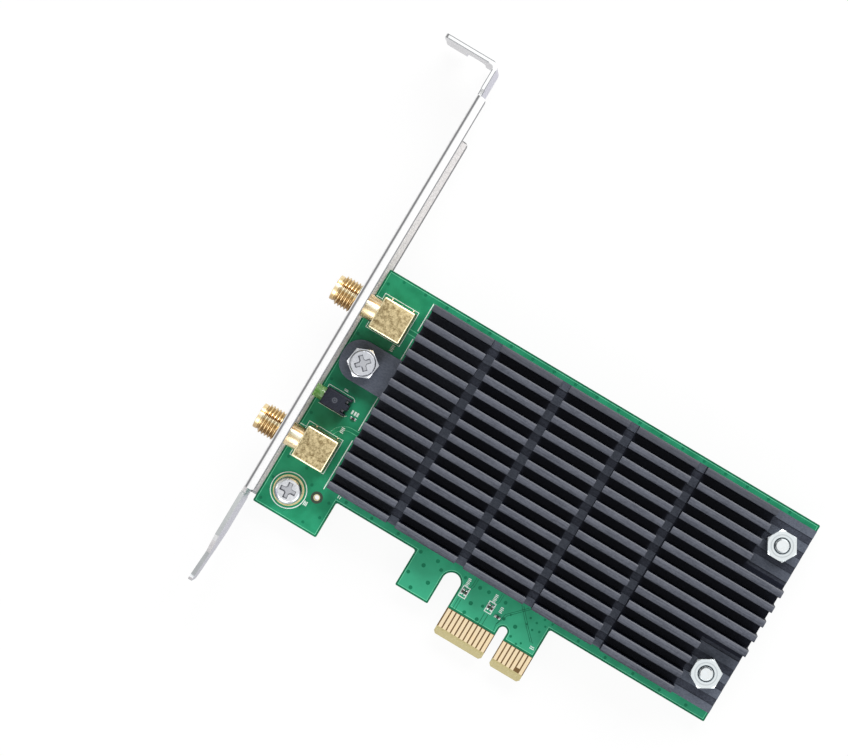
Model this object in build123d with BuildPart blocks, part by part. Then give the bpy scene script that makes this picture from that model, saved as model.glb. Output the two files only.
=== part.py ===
from build123d import *
import math
import os

# Wireless network card for a PCI Express x1 slot, with its full-height bracket.
# All lengths are millimetres. The card lies flat with its component side up (+Z).
# The origin is on the board's middle plane, at the centre of the key notch, on the
# tongue's bottom edge. +X runs along the board away from the bracket, and +Y runs
# from the tongue to the board's top edge.

os.makedirs("parts", exist_ok=True)

# Circuit board outline
board_thickness = 1.57
body_height = 46.35
tongue_drop = 12.55
key_from_bracket_edge = 57.25
key_width = 1.9
key_depth = 8.35
tongue_left = 12.15
tongue_right = 8.05
tongue_corner = 0.5
slot_width = 3.9
slot_rise = 0.05
guard_leg_width = 7.64
guard_leg_drop = 8.15
mount_leg_width = 14.85
mount_leg_drop = 8.25
inner_corner_radius = 0.5
outer_corner_radius = 0.3
bevel_height = 1.2
bevel_depth = 0.4

# Edge contacts
contact_pitch = 1.0
contact_width = 0.7
contact_thickness = 0.05
contact_top = 5.8
contact_bottom = 1.65
short_contact_bottom = 2.6
key_to_contact = 1.5
contacts_before_key = 11
contacts_after_key = 7
front_short_contact = 16
rear_short_contact = 10

# Screws that hold the board and the heatsink's ear to the bracket
screw_from_edge = 5.2
upper_screw_below_top = 19.13
screw_spacing = 30.0
screw_shank_radius = 1.47
screw_hole_clearance = 0.2
thread_clearance = 0.03
pan_head_radius = 2.85
pan_head_height = 2.1
pan_head_rounding = 0.85
hex_across_flats = 5.72
hex_head_height = 2.6
hex_corner_drop = 1.25
hex_turn = 22
hex_disc_radius = 2.68
hex_disc_height = 0.6
hex_disc_rounding = 0.35
hex_recess_turn = 47
pan_recess_turn = 5
recess_wing_length = 3.4
recess_wing_width = 1.0
recess_hub_width = 1.75
recess_depth = 1.3
recess_taper = 9.0

# Mounting bracket, bent from sheet steel
sheet = 0.86
bracket_gap = 1.29
bracket_width = 18.42
bracket_height = 120.02
tab_above_board = 46.1
tab_length = 11.43
tab_bend_radius = 1.5
tab_corner_radius = 1.0
flange_bend_radius = 1.1
near_flange_depth = 2.25
near_flange_top = 38.7
near_flange_length = 90.5
far_flange_depth = 2.75
far_flange_top = 30.0
far_flange_length = 83.4
flange_corner_radius = 0.9
relief_width = 1.4
relief_depth = 1.5
taper_below_top = 63.0
tip_root_below_top = 67.2
tip_width = 10.19
tip_kick = 0.4
tip_corner_radius = 1.5
notch_width = 4.42
notch_from_face = 4.5
notch_depth = 8.0
threaded_tab_width = 8.0
threaded_tab_reach = 3.8
threaded_tab_corner = 1.5
boss_radius = 2.2
boss_height = 1.6

# Antenna sockets
upper_socket_below_top = 8.65
socket_spacing = 30.0
socket_axis_height = 6.77
socket_block_centre = 6.0
socket_block_size = 7.0
socket_block_above_axis = 3.55
socket_standoff = 0.4
socket_foot_size = 1.5
socket_leg_radius = 0.6
socket_leg_inset = 0.95
socket_leg_below_board = 1.1
leg_hole_clearance = 0.1
socket_neck_radius = 2.5
barrel_radius = 3.175
thread_root_radius = 2.75
thread_before_plate = 0.2
barrel_behind_plate = 0.05
barrel_beyond_plate = 5.2
barrel_chamfer = 0.12
barrel_collar_length = 0.9
barrel_collar_radius = 2.7
collar_groove_width = 0.35
collar_groove_radius = 2.58
socket_hole_clearance = 0.425
mouth_radius = 2.35
mouth_depth = 2.6
insulator_radius = 2.05
insulator_past_centre = 1.9
insulator_branch_radius = 1.5
pin_radius = 0.46
pin_recess = 0.6
pin_bend_radius = 1.2

# Indicator diode and its holder
diode_above_lower_socket = 10.1
diode_axis_height = 3.2
diode_radius = 1.45
diode_front_beyond_plate = 0.45
diode_dome_radius = 1.25
diode_length_in_holder = 2.7
diode_hole_radius = 1.8
holder_start = 1.65
holder_length = 5.65
holder_width = 3.7
holder_height = 5.3
holder_corner_radius = 0.3
holder_bore_clearance = 0.05
lead_size = 0.5
lead_half_spacing = 1.0
lead_slot_depth = 1.1
lead_slot_width = 0.8
lead_below_board = 1.1
lead_hole_clearance = 0.05

# Heatsink, an extrusion milled across
heatsink_start = 11.77
heatsink_length = 89.7
board_past_heatsink = 0.23
heatsink_standoff = 1.2
base_thickness = 1.6
fin_count = 13
fin_pitch = 3.44
first_fin_below_top = 2.16
fin_top_width = 1.48
fin_root_width = 1.9
fin_height = 6.0
fin_edge_chamfer = 0.12
mill_floor = 0.22
cross_groove_count = 4
cross_groove_width = 2.0
cross_groove_pitch = 16.0
first_cross_groove = 14.9
pocket_length = 9.15
pocket_fins = 4
ear_width = 8.75
ear_past_screw = 4.85
ear_corner_radius = 3.9

# Screws, nuts and spacers at the far end of the heatsink
nut_before_heatsink_end = 4.77
upper_nut_below_top = 7.45
nut_spacing = 30.0
nut_across_flats = 5.85
nut_height = 2.4
nut_chamfer = 0.3
heatsink_screw_radius = 1.47
stud_above_nut = 0.25
back_head_radius = 2.8
back_head_height = 2.0
spacer_radius = 2.6
spacer_clearance = 0.15

# Chips and small parts under the heatsink and on the tongue
radio_chip_from_edge = 52.0
radio_chip_below_top = 22.0
radio_chip_size = 10.0
radio_chip_height = 0.85
thermal_pad_size = 12.0
amplifier_from_edge = 26.0
amplifier_size = 4.0
amplifier_height = 0.75
memory_from_edge = 70.0
memory_below_top = 14.0
memory_length = 5.0
memory_width = 4.0
memory_height = 0.9
crystal_from_edge = 66.0
crystal_below_top = 27.0
crystal_length = 3.2
crystal_width = 2.5
crystal_height = 0.75
regulator_from_edge = 80.0
regulator_below_top = 32.0
regulator_size = 3.0
regulator_height = 0.85
inductor_from_edge = 86.0
inductor_size = 4.0
inductor_height = 1.05
inductor_corner_radius = 0.6
small_part_length = 1.0
small_part_width = 0.5
small_part_height = 0.45
left_pair_from_edge = 46.48
right_pair_from_edge = 52.58
pair_above_contacts = 4.5
pair_spacing = 0.74
tongue_resistor_from_edge = 54.86
tongue_resistor_above_contacts = 3.5
diode_resistor_from_edge = 9.05
diode_resistor_below_top = 29.95
supply_row_from_edge = 60.0
supply_row_below_top = 39.0
supply_row_pitch = 1.8
supply_row_count = 6
plated_hole_from_edge = 10.9
plated_hole_below_body = 1.15
plated_hole_radius = 0.5

# Solder joints on the solder side
joint_radius = 1.1
joint_height = 0.75

# Places that follow from these sizes
top_z = board_thickness / 2
low_z = -board_thickness / 2
left_x = -key_from_bracket_edge
board_length = heatsink_start + heatsink_length + board_past_heatsink
right_x = left_x + board_length
body_y = tongue_drop
top_y = tongue_drop + body_height
mount_leg_right = left_x + mount_leg_width
slot_right = -tongue_left
slot_left = slot_right - slot_width
guard_leg_left = slot_left - guard_leg_width
slot_centre_x = (slot_left + slot_right) / 2
slot_centre_y = body_y + slot_rise - slot_width / 2
key_centre_y = key_depth - key_width / 2

screw_x = left_x + screw_from_edge
upper_screw_y = top_y - upper_screw_below_top
lower_screw_y = upper_screw_y - screw_spacing
screw_places = [(screw_x, upper_screw_y), (screw_x, lower_screw_y)]
screw_hole_radius = screw_shank_radius + screw_hole_clearance

plate_inner_x = left_x - bracket_gap
plate_outer_x = plate_inner_x - sheet
far_z = low_z - sheet
near_z = far_z + bracket_width
middle_z = (far_z + near_z) / 2
tab_y = top_y + tab_above_board
tip_y = tab_y - bracket_height
taper_y = top_y - taper_below_top
tip_root_y = top_y - tip_root_below_top
near_top_y = top_y + near_flange_top
near_low_y = near_top_y - near_flange_length
far_top_y = top_y + far_flange_top
far_low_y = far_top_y - far_flange_length
boss_end_z = far_z - boss_height

socket_ys = [top_y - upper_socket_below_top, top_y - upper_socket_below_top - socket_spacing]
socket_z = top_z + socket_axis_height
socket_x = left_x + socket_block_centre
block_left_x = socket_x - socket_block_size / 2
block_low_z = top_z + socket_standoff
block_top_z = socket_z + socket_block_above_axis
barrel_start_x = plate_inner_x + barrel_behind_plate
barrel_end_x = plate_outer_x - barrel_beyond_plate
thread_end_x = plate_outer_x - thread_before_plate
mouth_floor_x = barrel_end_x + mouth_depth
socket_hole_radius = barrel_radius + socket_hole_clearance
leg_offset = socket_block_size / 2 - socket_leg_inset
leg_end_z = low_z - socket_leg_below_board

diode_y = socket_ys[1] + diode_above_lower_socket
diode_z = top_z + diode_axis_height
holder_x = left_x + holder_start
holder_end_x = holder_x + holder_length
diode_front_x = plate_outer_x - diode_front_beyond_plate
diode_back_x = holder_x + diode_length_in_holder
lead_x = holder_end_x - lead_slot_depth + lead_size / 2
lead_end_z = low_z - lead_below_board
lead_ys = [diode_y - lead_half_spacing, diode_y + lead_half_spacing]

heatsink_x = left_x + heatsink_start
heatsink_end_x = heatsink_x + heatsink_length
heatsink_low_z = top_z + heatsink_standoff
gap_floor_z = heatsink_low_z + base_thickness
mill_floor_z = gap_floor_z + mill_floor
fin_top_z = gap_floor_z + fin_height
first_fin_y = top_y - first_fin_below_top
fin_ys = [first_fin_y - i * fin_pitch for i in range(fin_count)]
heatsink_top_y = fin_ys[0] + fin_top_width / 2
heatsink_low_y = fin_ys[-1] - fin_top_width / 2
groove_xs = [
    heatsink_x + first_cross_groove + i * cross_groove_pitch for i in range(cross_groove_count)
]
pocket_x = heatsink_end_x - pocket_length
upper_pocket_y = fin_ys[pocket_fins] + fin_pitch / 2
lower_pocket_y = fin_ys[-1 - pocket_fins] - fin_pitch / 2
ear_x = screw_x - ear_past_screw
nut_x = heatsink_end_x - nut_before_heatsink_end
nut_ys = [top_y - upper_nut_below_top, top_y - upper_nut_below_top - nut_spacing]
nut_hole_radius = heatsink_screw_radius + screw_hole_clearance
nut_top_z = mill_floor_z + nut_height
hex_shoulder_z = mill_floor_z + hex_head_height - hex_disc_height

plated_hole_place = (left_x + plated_hole_from_edge, body_y - plated_hole_below_body)
leg_places = [
    (socket_x + sx * leg_offset, y + sy * leg_offset)
    for y in socket_ys
    for sx in (-1, 1)
    for sy in (-1, 1)
]
pin_places = [(socket_x, y) for y in socket_ys]
lead_places = [(lead_x, y) for y in lead_ys]
leg_hole_radius = socket_leg_radius + leg_hole_clearance
pin_hole_radius = pin_radius + leg_hole_clearance
lead_hole_radius = lead_size / math.sqrt(2) + lead_hole_clearance


# Circuit board with tongue, key notch, legs and all its holes
with BuildPart() as circuit_board:
    with BuildSketch(Plane.XY.offset(low_z)) as outline:
        with BuildLine():
            Polyline(
                (left_x, top_y),
                (left_x, body_y - mount_leg_drop),
                (mount_leg_right, body_y - mount_leg_drop),
                (mount_leg_right, body_y),
                (guard_leg_left, body_y),
                (guard_leg_left, body_y - guard_leg_drop),
                (slot_left, body_y - guard_leg_drop),
                (slot_left, slot_centre_y),
                (slot_right, slot_centre_y),
                (slot_right, 0),
                (tongue_right, 0),
                (tongue_right, body_y),
                (right_x, body_y),
                (right_x, top_y),
                close=True,
            )
        make_face()
        for corner in [
            (mount_leg_right, body_y),
            (guard_leg_left, body_y),
            (tongue_right, body_y),
        ]:
            fillet(outline.vertices().sort_by_distance(corner)[0], radius=inner_corner_radius)
        for corner in [
            (left_x, top_y),
            (left_x, body_y - mount_leg_drop),
            (mount_leg_right, body_y - mount_leg_drop),
            (guard_leg_left, body_y - guard_leg_drop),
            (slot_left, body_y - guard_leg_drop),
            (right_x, body_y),
            (right_x, top_y),
        ]:
            fillet(outline.vertices().sort_by_distance(corner)[0], radius=outer_corner_radius)
        for corner in [(slot_right, 0), (tongue_right, 0)]:
            chamfer(outline.vertices().sort_by_distance(corner)[0], length=tongue_corner)
        with Locations((slot_centre_x, slot_centre_y)):
            Circle(slot_width / 2, mode=Mode.SUBTRACT)
        with Locations((0, key_centre_y)):
            Circle(key_width / 2, mode=Mode.SUBTRACT)
        with Locations((0, 0)):
            Rectangle(key_width, 2 * key_centre_y, mode=Mode.SUBTRACT)
        for corner in [(-key_width / 2, 0), (key_width / 2, 0)]:
            chamfer(outline.vertices().sort_by_distance(corner)[0], length=tongue_corner)
    extrude(amount=board_thickness)
    with BuildSketch(Plane.YZ.offset(-tongue_left)) as bevel:
        for side in (-1, 1):
            with BuildLine():
                Polyline(
                    (0, side * (top_z - bevel_depth)),
                    (0, side * top_z),
                    (bevel_height, side * top_z),
                    close=True,
                )
            make_face()
    extrude(amount=tongue_left + tongue_right, mode=Mode.SUBTRACT)
    with Locations(*[(x, y, top_z) for x, y in screw_places]):
        Hole(screw_hole_radius)
    with Locations(*[(nut_x, y, top_z) for y in nut_ys]):
        Hole(nut_hole_radius)
    with Locations(*[(x, y, top_z) for x, y in leg_places]):
        Hole(leg_hole_radius)
    with Locations(*[(x, y, top_z) for x, y in pin_places]):
        Hole(pin_hole_radius)
    with Locations(*[(x, y, top_z) for x, y in lead_places]):
        Hole(lead_hole_radius)
    with Locations((plated_hole_place[0], plated_hole_place[1], top_z)):
        Hole(plated_hole_radius)
circuit_board.part.label = "circuit_board"
export_step(circuit_board.part, "parts/circuit_board.step")


# Gold contacts along the tongue, one set on each side, the last-mating one shorter
contact_xs = [-key_to_contact - i * contact_pitch for i in range(contacts_before_key)]
contact_xs += [key_to_contact + i * contact_pitch for i in range(contacts_after_key)]

with BuildPart() as front_edge_contacts:
    with BuildSketch(Plane.XY.offset(top_z)):
        for index, x in enumerate(contact_xs):
            low = short_contact_bottom if index == front_short_contact else contact_bottom
            with Locations((x, contact_top)):
                Rectangle(contact_width, contact_top - low, align=(Align.CENTER, Align.MAX))
    extrude(amount=contact_thickness)
front_edge_contacts.part.label = "front_edge_contacts"
export_step(front_edge_contacts.part, "parts/front_edge_contacts.step")

with BuildPart() as rear_edge_contacts:
    with BuildSketch(Plane.XY.offset(low_z)):
        for index, x in enumerate(contact_xs):
            low = short_contact_bottom if index == rear_short_contact else contact_bottom
            with Locations((x, contact_top)):
                Rectangle(contact_width, contact_top - low, align=(Align.CENTER, Align.MAX))
    extrude(amount=-contact_thickness)
rear_edge_contacts.part.label = "rear_edge_contacts"
export_step(rear_edge_contacts.part, "parts/rear_edge_contacts.step")


# Mounting bracket: flat plate, two flanges, screw tab, tongue tip and threaded tabs
bend_y = tab_y - tab_bend_radius

with BuildPart() as mounting_bracket:
    with BuildSketch(Plane.YZ.offset(plate_outer_x)):
        with BuildLine():
            Polyline(
                (tip_root_y, middle_z - tip_width / 2),
                (taper_y, far_z),
                (bend_y, far_z),
                (bend_y, near_z),
                (taper_y, near_z),
                (tip_root_y, middle_z + tip_width / 2),
                close=True,
            )
        make_face()
        for low_y, high_y, z, side in [
            (far_low_y, far_top_y, far_z, Align.MIN),
            (near_low_y, near_top_y, near_z, Align.MAX),
        ]:
            with Locations(((low_y + high_y) / 2, z)):
                Rectangle(
                    high_y - low_y + 2 * relief_width,
                    relief_depth,
                    align=(Align.CENTER, side),
                    mode=Mode.SUBTRACT,
                )
    extrude(amount=sheet)
    with BuildSketch(Plane.XZ.offset(-near_top_y)) as near_profile:
        with BuildLine():
            Polyline(
                (plate_outer_x, middle_z),
                (plate_outer_x, near_z),
                (plate_outer_x + near_flange_depth, near_z),
                (plate_outer_x + near_flange_depth, near_z - sheet),
                (plate_inner_x, near_z - sheet),
                (plate_inner_x, middle_z),
                close=True,
            )
        make_face()
        fillet(
            near_profile.vertices().sort_by_distance((plate_outer_x, near_z))[0],
            radius=flange_bend_radius,
        )
        fillet(
            near_profile.vertices().sort_by_distance((plate_inner_x, near_z - sheet))[0],
            radius=flange_bend_radius - sheet,
        )
    extrude(amount=near_flange_length)
    with BuildSketch(Plane.XZ.offset(-far_top_y)) as far_profile:
        with BuildLine():
            Polyline(
                (plate_outer_x, middle_z),
                (plate_outer_x, far_z),
                (plate_outer_x + far_flange_depth, far_z),
                (plate_outer_x + far_flange_depth, far_z + sheet),
                (plate_inner_x, far_z + sheet),
                (plate_inner_x, middle_z),
                close=True,
            )
        make_face()
        fillet(
            far_profile.vertices().sort_by_distance((plate_outer_x, far_z))[0],
            radius=flange_bend_radius,
        )
        fillet(
            far_profile.vertices().sort_by_distance((plate_inner_x, far_z + sheet))[0],
            radius=flange_bend_radius - sheet,
        )
    extrude(amount=far_flange_length)
    for x, y, z in [
        (plate_outer_x + near_flange_depth, near_top_y, near_z - sheet / 2),
        (plate_outer_x + near_flange_depth, near_low_y, near_z - sheet / 2),
        (plate_outer_x + far_flange_depth, far_top_y, far_z + sheet / 2),
    ]:
        upright = mounting_bracket.edges().filter_by(Axis.Z)
        fillet(upright.sort_by_distance((x, y, z))[0], radius=flange_corner_radius)
    with BuildSketch(Plane.XY.offset(far_z)) as screw_tab_profile:
        with BuildLine():
            Polyline(
                (plate_inner_x, bend_y),
                (plate_inner_x, tab_y),
                (plate_outer_x - tab_length, tab_y),
                (plate_outer_x - tab_length, tab_y - sheet),
                (plate_outer_x, tab_y - sheet),
                (plate_outer_x, bend_y),
                close=True,
            )
        make_face()
        fillet(
            screw_tab_profile.vertices().sort_by_distance((plate_inner_x, tab_y))[0],
            radius=tab_bend_radius,
        )
        fillet(
            screw_tab_profile.vertices().sort_by_distance((plate_outer_x, tab_y - sheet))[0],
            radius=tab_bend_radius - sheet,
        )
    extrude(amount=bracket_width)
    tab_corners = mounting_bracket.edges().filter_by(Axis.Y).sort_by(Axis.X)[:2]
    fillet(tab_corners, radius=tab_corner_radius)
    with BuildSketch(Plane.XZ.offset(-tab_y)):
        with Locations((plate_outer_x - notch_from_face, far_z)):
            Rectangle(
                notch_width,
                notch_depth - notch_width / 2,
                align=(Align.CENTER, Align.MIN),
            )
        with Locations((plate_outer_x - notch_from_face, far_z + notch_depth - notch_width / 2)):
            Circle(notch_width / 2)
    extrude(amount=sheet, mode=Mode.SUBTRACT)
    with BuildSketch(Plane.XY.offset(middle_z - tip_width / 2)):
        with BuildLine():
            Polyline(
                (plate_outer_x, tip_root_y),
                (plate_inner_x, tip_root_y),
                (plate_inner_x - tip_kick, tip_y),
                (plate_outer_x - tip_kick, tip_y),
                close=True,
            )
        make_face()
    extrude(amount=tip_width)
    tip_corners = mounting_bracket.edges().filter_by(Axis.X).sort_by(Axis.Y)[:2]
    fillet(tip_corners, radius=tip_corner_radius)
    with BuildSketch(Plane.XY.offset(far_z)) as threaded_tabs:
        with Locations(*[(plate_inner_x + sheet, y) for y in (upper_screw_y, lower_screw_y)]):
            Rectangle(
                screw_x + threaded_tab_reach - plate_inner_x - sheet,
                threaded_tab_width,
                align=(Align.MIN, Align.CENTER),
            )
        fillet(threaded_tabs.vertices().sort_by(Axis.X)[-4:], radius=threaded_tab_corner)
    extrude(amount=sheet)
    with BuildSketch(Plane.XY.offset(far_z)):
        with Locations(*screw_places):
            Circle(boss_radius)
    extrude(amount=-boss_height)
    with Locations(*[(x, y, far_z) for x, y in screw_places]):
        Hole(screw_shank_radius + thread_clearance)
    with BuildSketch(Plane.YZ.offset(plate_outer_x)):
        with Locations(*[(y, socket_z) for y in socket_ys]):
            Circle(socket_hole_radius)
        with Locations((diode_y, diode_z)):
            Circle(diode_hole_radius)
    extrude(amount=sheet, mode=Mode.SUBTRACT)
mounting_bracket.part.label = "mounting_bracket"
export_step(mounting_bracket.part, "parts/mounting_bracket.step")


# Heatsink: base and fins as one extrusion, then cross grooves, nut pockets and ear
with BuildPart() as heatsink:
    with BuildSketch(Plane.YZ.offset(heatsink_x)):
        with Locations(((heatsink_low_y + heatsink_top_y) / 2, heatsink_low_z)):
            Rectangle(
                heatsink_top_y - heatsink_low_y,
                base_thickness,
                align=(Align.CENTER, Align.MIN),
            )
        for index, y in enumerate(fin_ys):
            root_up = fin_root_width / 2 if index > 0 else fin_top_width / 2
            root_down = fin_root_width / 2 if index < fin_count - 1 else fin_top_width / 2
            with BuildLine():
                Polyline(
                    (y - root_down, gap_floor_z),
                    (y + root_up, gap_floor_z),
                    (y + fin_top_width / 2, fin_top_z - fin_edge_chamfer),
                    (y + fin_top_width / 2 - fin_edge_chamfer, fin_top_z),
                    (y - fin_top_width / 2 + fin_edge_chamfer, fin_top_z),
                    (y - fin_top_width / 2, fin_top_z - fin_edge_chamfer),
                    close=True,
                )
            make_face()
    extrude(amount=heatsink_length)
    with BuildSketch(Plane.XY.offset(mill_floor_z)):
        with Locations(*[(x, (heatsink_low_y + heatsink_top_y) / 2) for x in groove_xs]):
            Rectangle(cross_groove_width, 2 * (heatsink_top_y - heatsink_low_y))
        with Locations((pocket_x, upper_pocket_y)):
            Rectangle(
                2 * pocket_length,
                2 * (heatsink_top_y - upper_pocket_y),
                align=(Align.MIN, Align.MIN),
            )
        with Locations((pocket_x, lower_pocket_y)):
            Rectangle(
                2 * pocket_length,
                2 * (lower_pocket_y - heatsink_low_y),
                align=(Align.MIN, Align.MAX),
            )
    extrude(amount=fin_height, mode=Mode.SUBTRACT)
    with BuildSketch(Plane.XY.offset(heatsink_low_z)) as ear:
        with Locations((ear_x, upper_screw_y)):
            Rectangle(
                heatsink_x - ear_x + fin_pitch / 4,
                ear_width,
                align=(Align.MIN, Align.CENTER),
            )
        fillet(ear.vertices().sort_by(Axis.X)[:2], radius=ear_corner_radius)
    extrude(amount=base_thickness)
    with BuildSketch(Plane.XY.offset(gap_floor_z)) as ear_top:
        with Locations((ear_x, upper_screw_y)):
            Rectangle(heatsink_x - ear_x, ear_width, align=(Align.MIN, Align.CENTER))
        fillet(ear_top.vertices().sort_by(Axis.X)[:2], radius=ear_corner_radius)
    extrude(amount=mill_floor)
    with Locations((screw_x, upper_screw_y, gap_floor_z)):
        Hole(screw_hole_radius)
    with Locations(*[(nut_x, y, gap_floor_z) for y in nut_ys]):
        Hole(nut_hole_radius)
heatsink.part.label = "heatsink"
export_step(heatsink.part, "parts/heatsink.step")


# Antenna sockets: block on feet, neck, barrel with collar, insulator and centre contact
for name, y in zip(("upper", "lower"), socket_ys):
    with BuildPart() as socket_body:
        with BuildSketch(Plane.XY.offset(block_low_z)):
            with Locations((socket_x, y)):
                Rectangle(socket_block_size, socket_block_size)
        extrude(amount=block_top_z - block_low_z)
        with BuildSketch(Plane.XY.offset(top_z)):
            for sx in (-1, 1):
                for sy in (-1, 1):
                    corner = (socket_x + sx * socket_block_size / 2, y + sy * socket_block_size / 2)
                    with Locations(corner):
                        Rectangle(
                            socket_foot_size,
                            socket_foot_size,
                            align=(
                                Align.MIN if sx < 0 else Align.MAX,
                                Align.MIN if sy < 0 else Align.MAX,
                            ),
                        )
        extrude(amount=socket_standoff)
        with BuildSketch(Plane.XY.offset(leg_end_z)):
            for sx in (-1, 1):
                for sy in (-1, 1):
                    with Locations((socket_x + sx * leg_offset, y + sy * leg_offset)):
                        Circle(socket_leg_radius)
        extrude(amount=top_z - leg_end_z)
        with BuildSketch(Plane.YZ.offset(barrel_end_x)):
            with Locations((y, socket_z)):
                Circle(barrel_collar_radius)
        extrude(amount=thread_end_x - barrel_end_x)
        with BuildSketch(Plane.YZ.offset(barrel_end_x + barrel_collar_length)):
            with Locations((y, socket_z)):
                Circle(barrel_radius)
        extrude(amount=thread_end_x - barrel_end_x - barrel_collar_length)
        mouth_edge = socket_body.edges().filter_by(GeomType.CIRCLE).sort_by(Axis.X)[0]
        chamfer(mouth_edge, length=barrel_chamfer)
        with BuildSketch(Plane.YZ.offset(thread_end_x)):
            with Locations((y, socket_z)):
                Circle(thread_root_radius)
        extrude(amount=barrel_start_x - thread_end_x)
        with BuildSketch(Plane.YZ.offset(barrel_start_x)):
            with Locations((y, socket_z)):
                Circle(socket_neck_radius)
        extrude(amount=block_left_x - barrel_start_x)
        with BuildSketch(Plane.YZ.offset(barrel_end_x + barrel_collar_length)):
            with Locations((y, socket_z)):
                Circle(barrel_radius)
                Circle(collar_groove_radius, mode=Mode.SUBTRACT)
        extrude(amount=collar_groove_width, mode=Mode.SUBTRACT)
        with BuildSketch(Plane.YZ.offset(barrel_end_x)):
            with Locations((y, socket_z)):
                Circle(mouth_radius)
        extrude(amount=mouth_depth, mode=Mode.SUBTRACT)
        with BuildSketch(Plane.YZ.offset(mouth_floor_x)):
            with Locations((y, socket_z)):
                Circle(insulator_radius)
        extrude(amount=socket_x + insulator_past_centre - mouth_floor_x, mode=Mode.SUBTRACT)
        with BuildSketch(Plane.XY.offset(block_low_z)):
            with Locations((socket_x, y)):
                Circle(insulator_branch_radius)
        extrude(amount=socket_z - block_low_z, mode=Mode.SUBTRACT)
    socket_body.part.label = name + "_antenna_socket"
    export_step(socket_body.part, "parts/" + name + "_antenna_socket.step")

    with BuildPart() as insulator:
        with BuildSketch(Plane.YZ.offset(mouth_floor_x)):
            with Locations((y, socket_z)):
                Circle(insulator_radius)
        extrude(amount=socket_x + insulator_past_centre - mouth_floor_x)
        with BuildSketch(Plane.XY.offset(block_low_z)):
            with Locations((socket_x, y)):
                Circle(insulator_branch_radius)
        extrude(amount=socket_z - block_low_z)
        with BuildLine() as pin_way:
            FilletPolyline(
                (mouth_floor_x, y, socket_z),
                (socket_x, y, socket_z),
                (socket_x, y, block_low_z),
                radius=pin_bend_radius,
            )
        with BuildSketch(Plane(origin=(mouth_floor_x, y, socket_z), z_dir=(1, 0, 0))):
            Circle(pin_radius)
        sweep(path=pin_way.line, mode=Mode.SUBTRACT)
    insulator.part.label = name + "_socket_insulator"
    export_step(insulator.part, "parts/" + name + "_socket_insulator.step")

    with BuildPart() as centre_contact:
        with BuildLine() as pin_run:
            FilletPolyline(
                (barrel_end_x + pin_recess, y, socket_z),
                (socket_x, y, socket_z),
                (socket_x, y, leg_end_z),
                radius=pin_bend_radius,
            )
        with BuildSketch(Plane(origin=(barrel_end_x + pin_recess, y, socket_z), z_dir=(1, 0, 0))):
            Circle(pin_radius)
        sweep(path=pin_run.line)
        pin_tip = centre_contact.edges().filter_by(GeomType.CIRCLE).sort_by(Axis.X)[0]
        chamfer(pin_tip, length=pin_radius / 2)
    centre_contact.part.label = name + "_socket_centre_contact"
    export_step(centre_contact.part, "parts/" + name + "_socket_centre_contact.step")


# Indicator diode: clear body with a dome, its black holder and its two leads
with BuildPart() as indicator_diode:
    with BuildSketch(Plane.YZ.offset(diode_front_x)):
        with Locations((diode_y, diode_z)):
            Circle(diode_radius)
    extrude(amount=diode_back_x - diode_front_x)
    front_edge = indicator_diode.edges().filter_by(GeomType.CIRCLE).sort_by(Axis.X)[0]
    fillet(front_edge, radius=diode_dome_radius)
indicator_diode.part.label = "indicator_diode"
export_step(indicator_diode.part, "parts/indicator_diode.step")

with BuildPart() as diode_holder:
    with BuildSketch(Plane.XY.offset(top_z)):
        with Locations((holder_x, diode_y)):
            Rectangle(holder_length, holder_width, align=(Align.MIN, Align.CENTER))
    extrude(amount=holder_height)
    rims = diode_holder.faces().sort_by(Axis.Z)[-1].edges()
    fillet(rims, radius=holder_corner_radius)
    with BuildSketch(Plane.YZ.offset(holder_x)):
        with Locations((diode_y, diode_z)):
            Circle(diode_radius + holder_bore_clearance)
    extrude(amount=diode_length_in_holder + holder_bore_clearance, mode=Mode.SUBTRACT)
    with BuildSketch(Plane.XY.offset(top_z)):
        with Locations(*[(holder_end_x, y) for y in lead_ys]):
            Rectangle(lead_slot_depth, lead_slot_width, align=(Align.MAX, Align.CENTER))
    extrude(amount=holder_height, mode=Mode.SUBTRACT)
    with BuildSketch(Plane.YZ.offset(diode_back_x)):
        with Locations(*[(y, diode_z) for y in lead_ys]):
            Rectangle(lead_slot_width, lead_slot_width)
    extrude(amount=holder_end_x - lead_slot_depth - diode_back_x, mode=Mode.SUBTRACT)
diode_holder.part.label = "diode_holder"
export_step(diode_holder.part, "parts/diode_holder.step")

with BuildPart() as diode_leads:
    with BuildSketch(Plane.YZ.offset(diode_back_x)):
        with Locations(*[(y, diode_z) for y in lead_ys]):
            Rectangle(lead_size, lead_size)
    extrude(amount=lead_x + lead_size / 2 - diode_back_x)
    with BuildSketch(Plane.XY.offset(lead_end_z)):
        with Locations(*lead_places):
            Rectangle(lead_size, lead_size)
    extrude(amount=diode_z - lead_end_z)
diode_leads.part.label = "diode_leads"
export_step(diode_leads.part, "parts/diode_leads.step")


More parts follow.
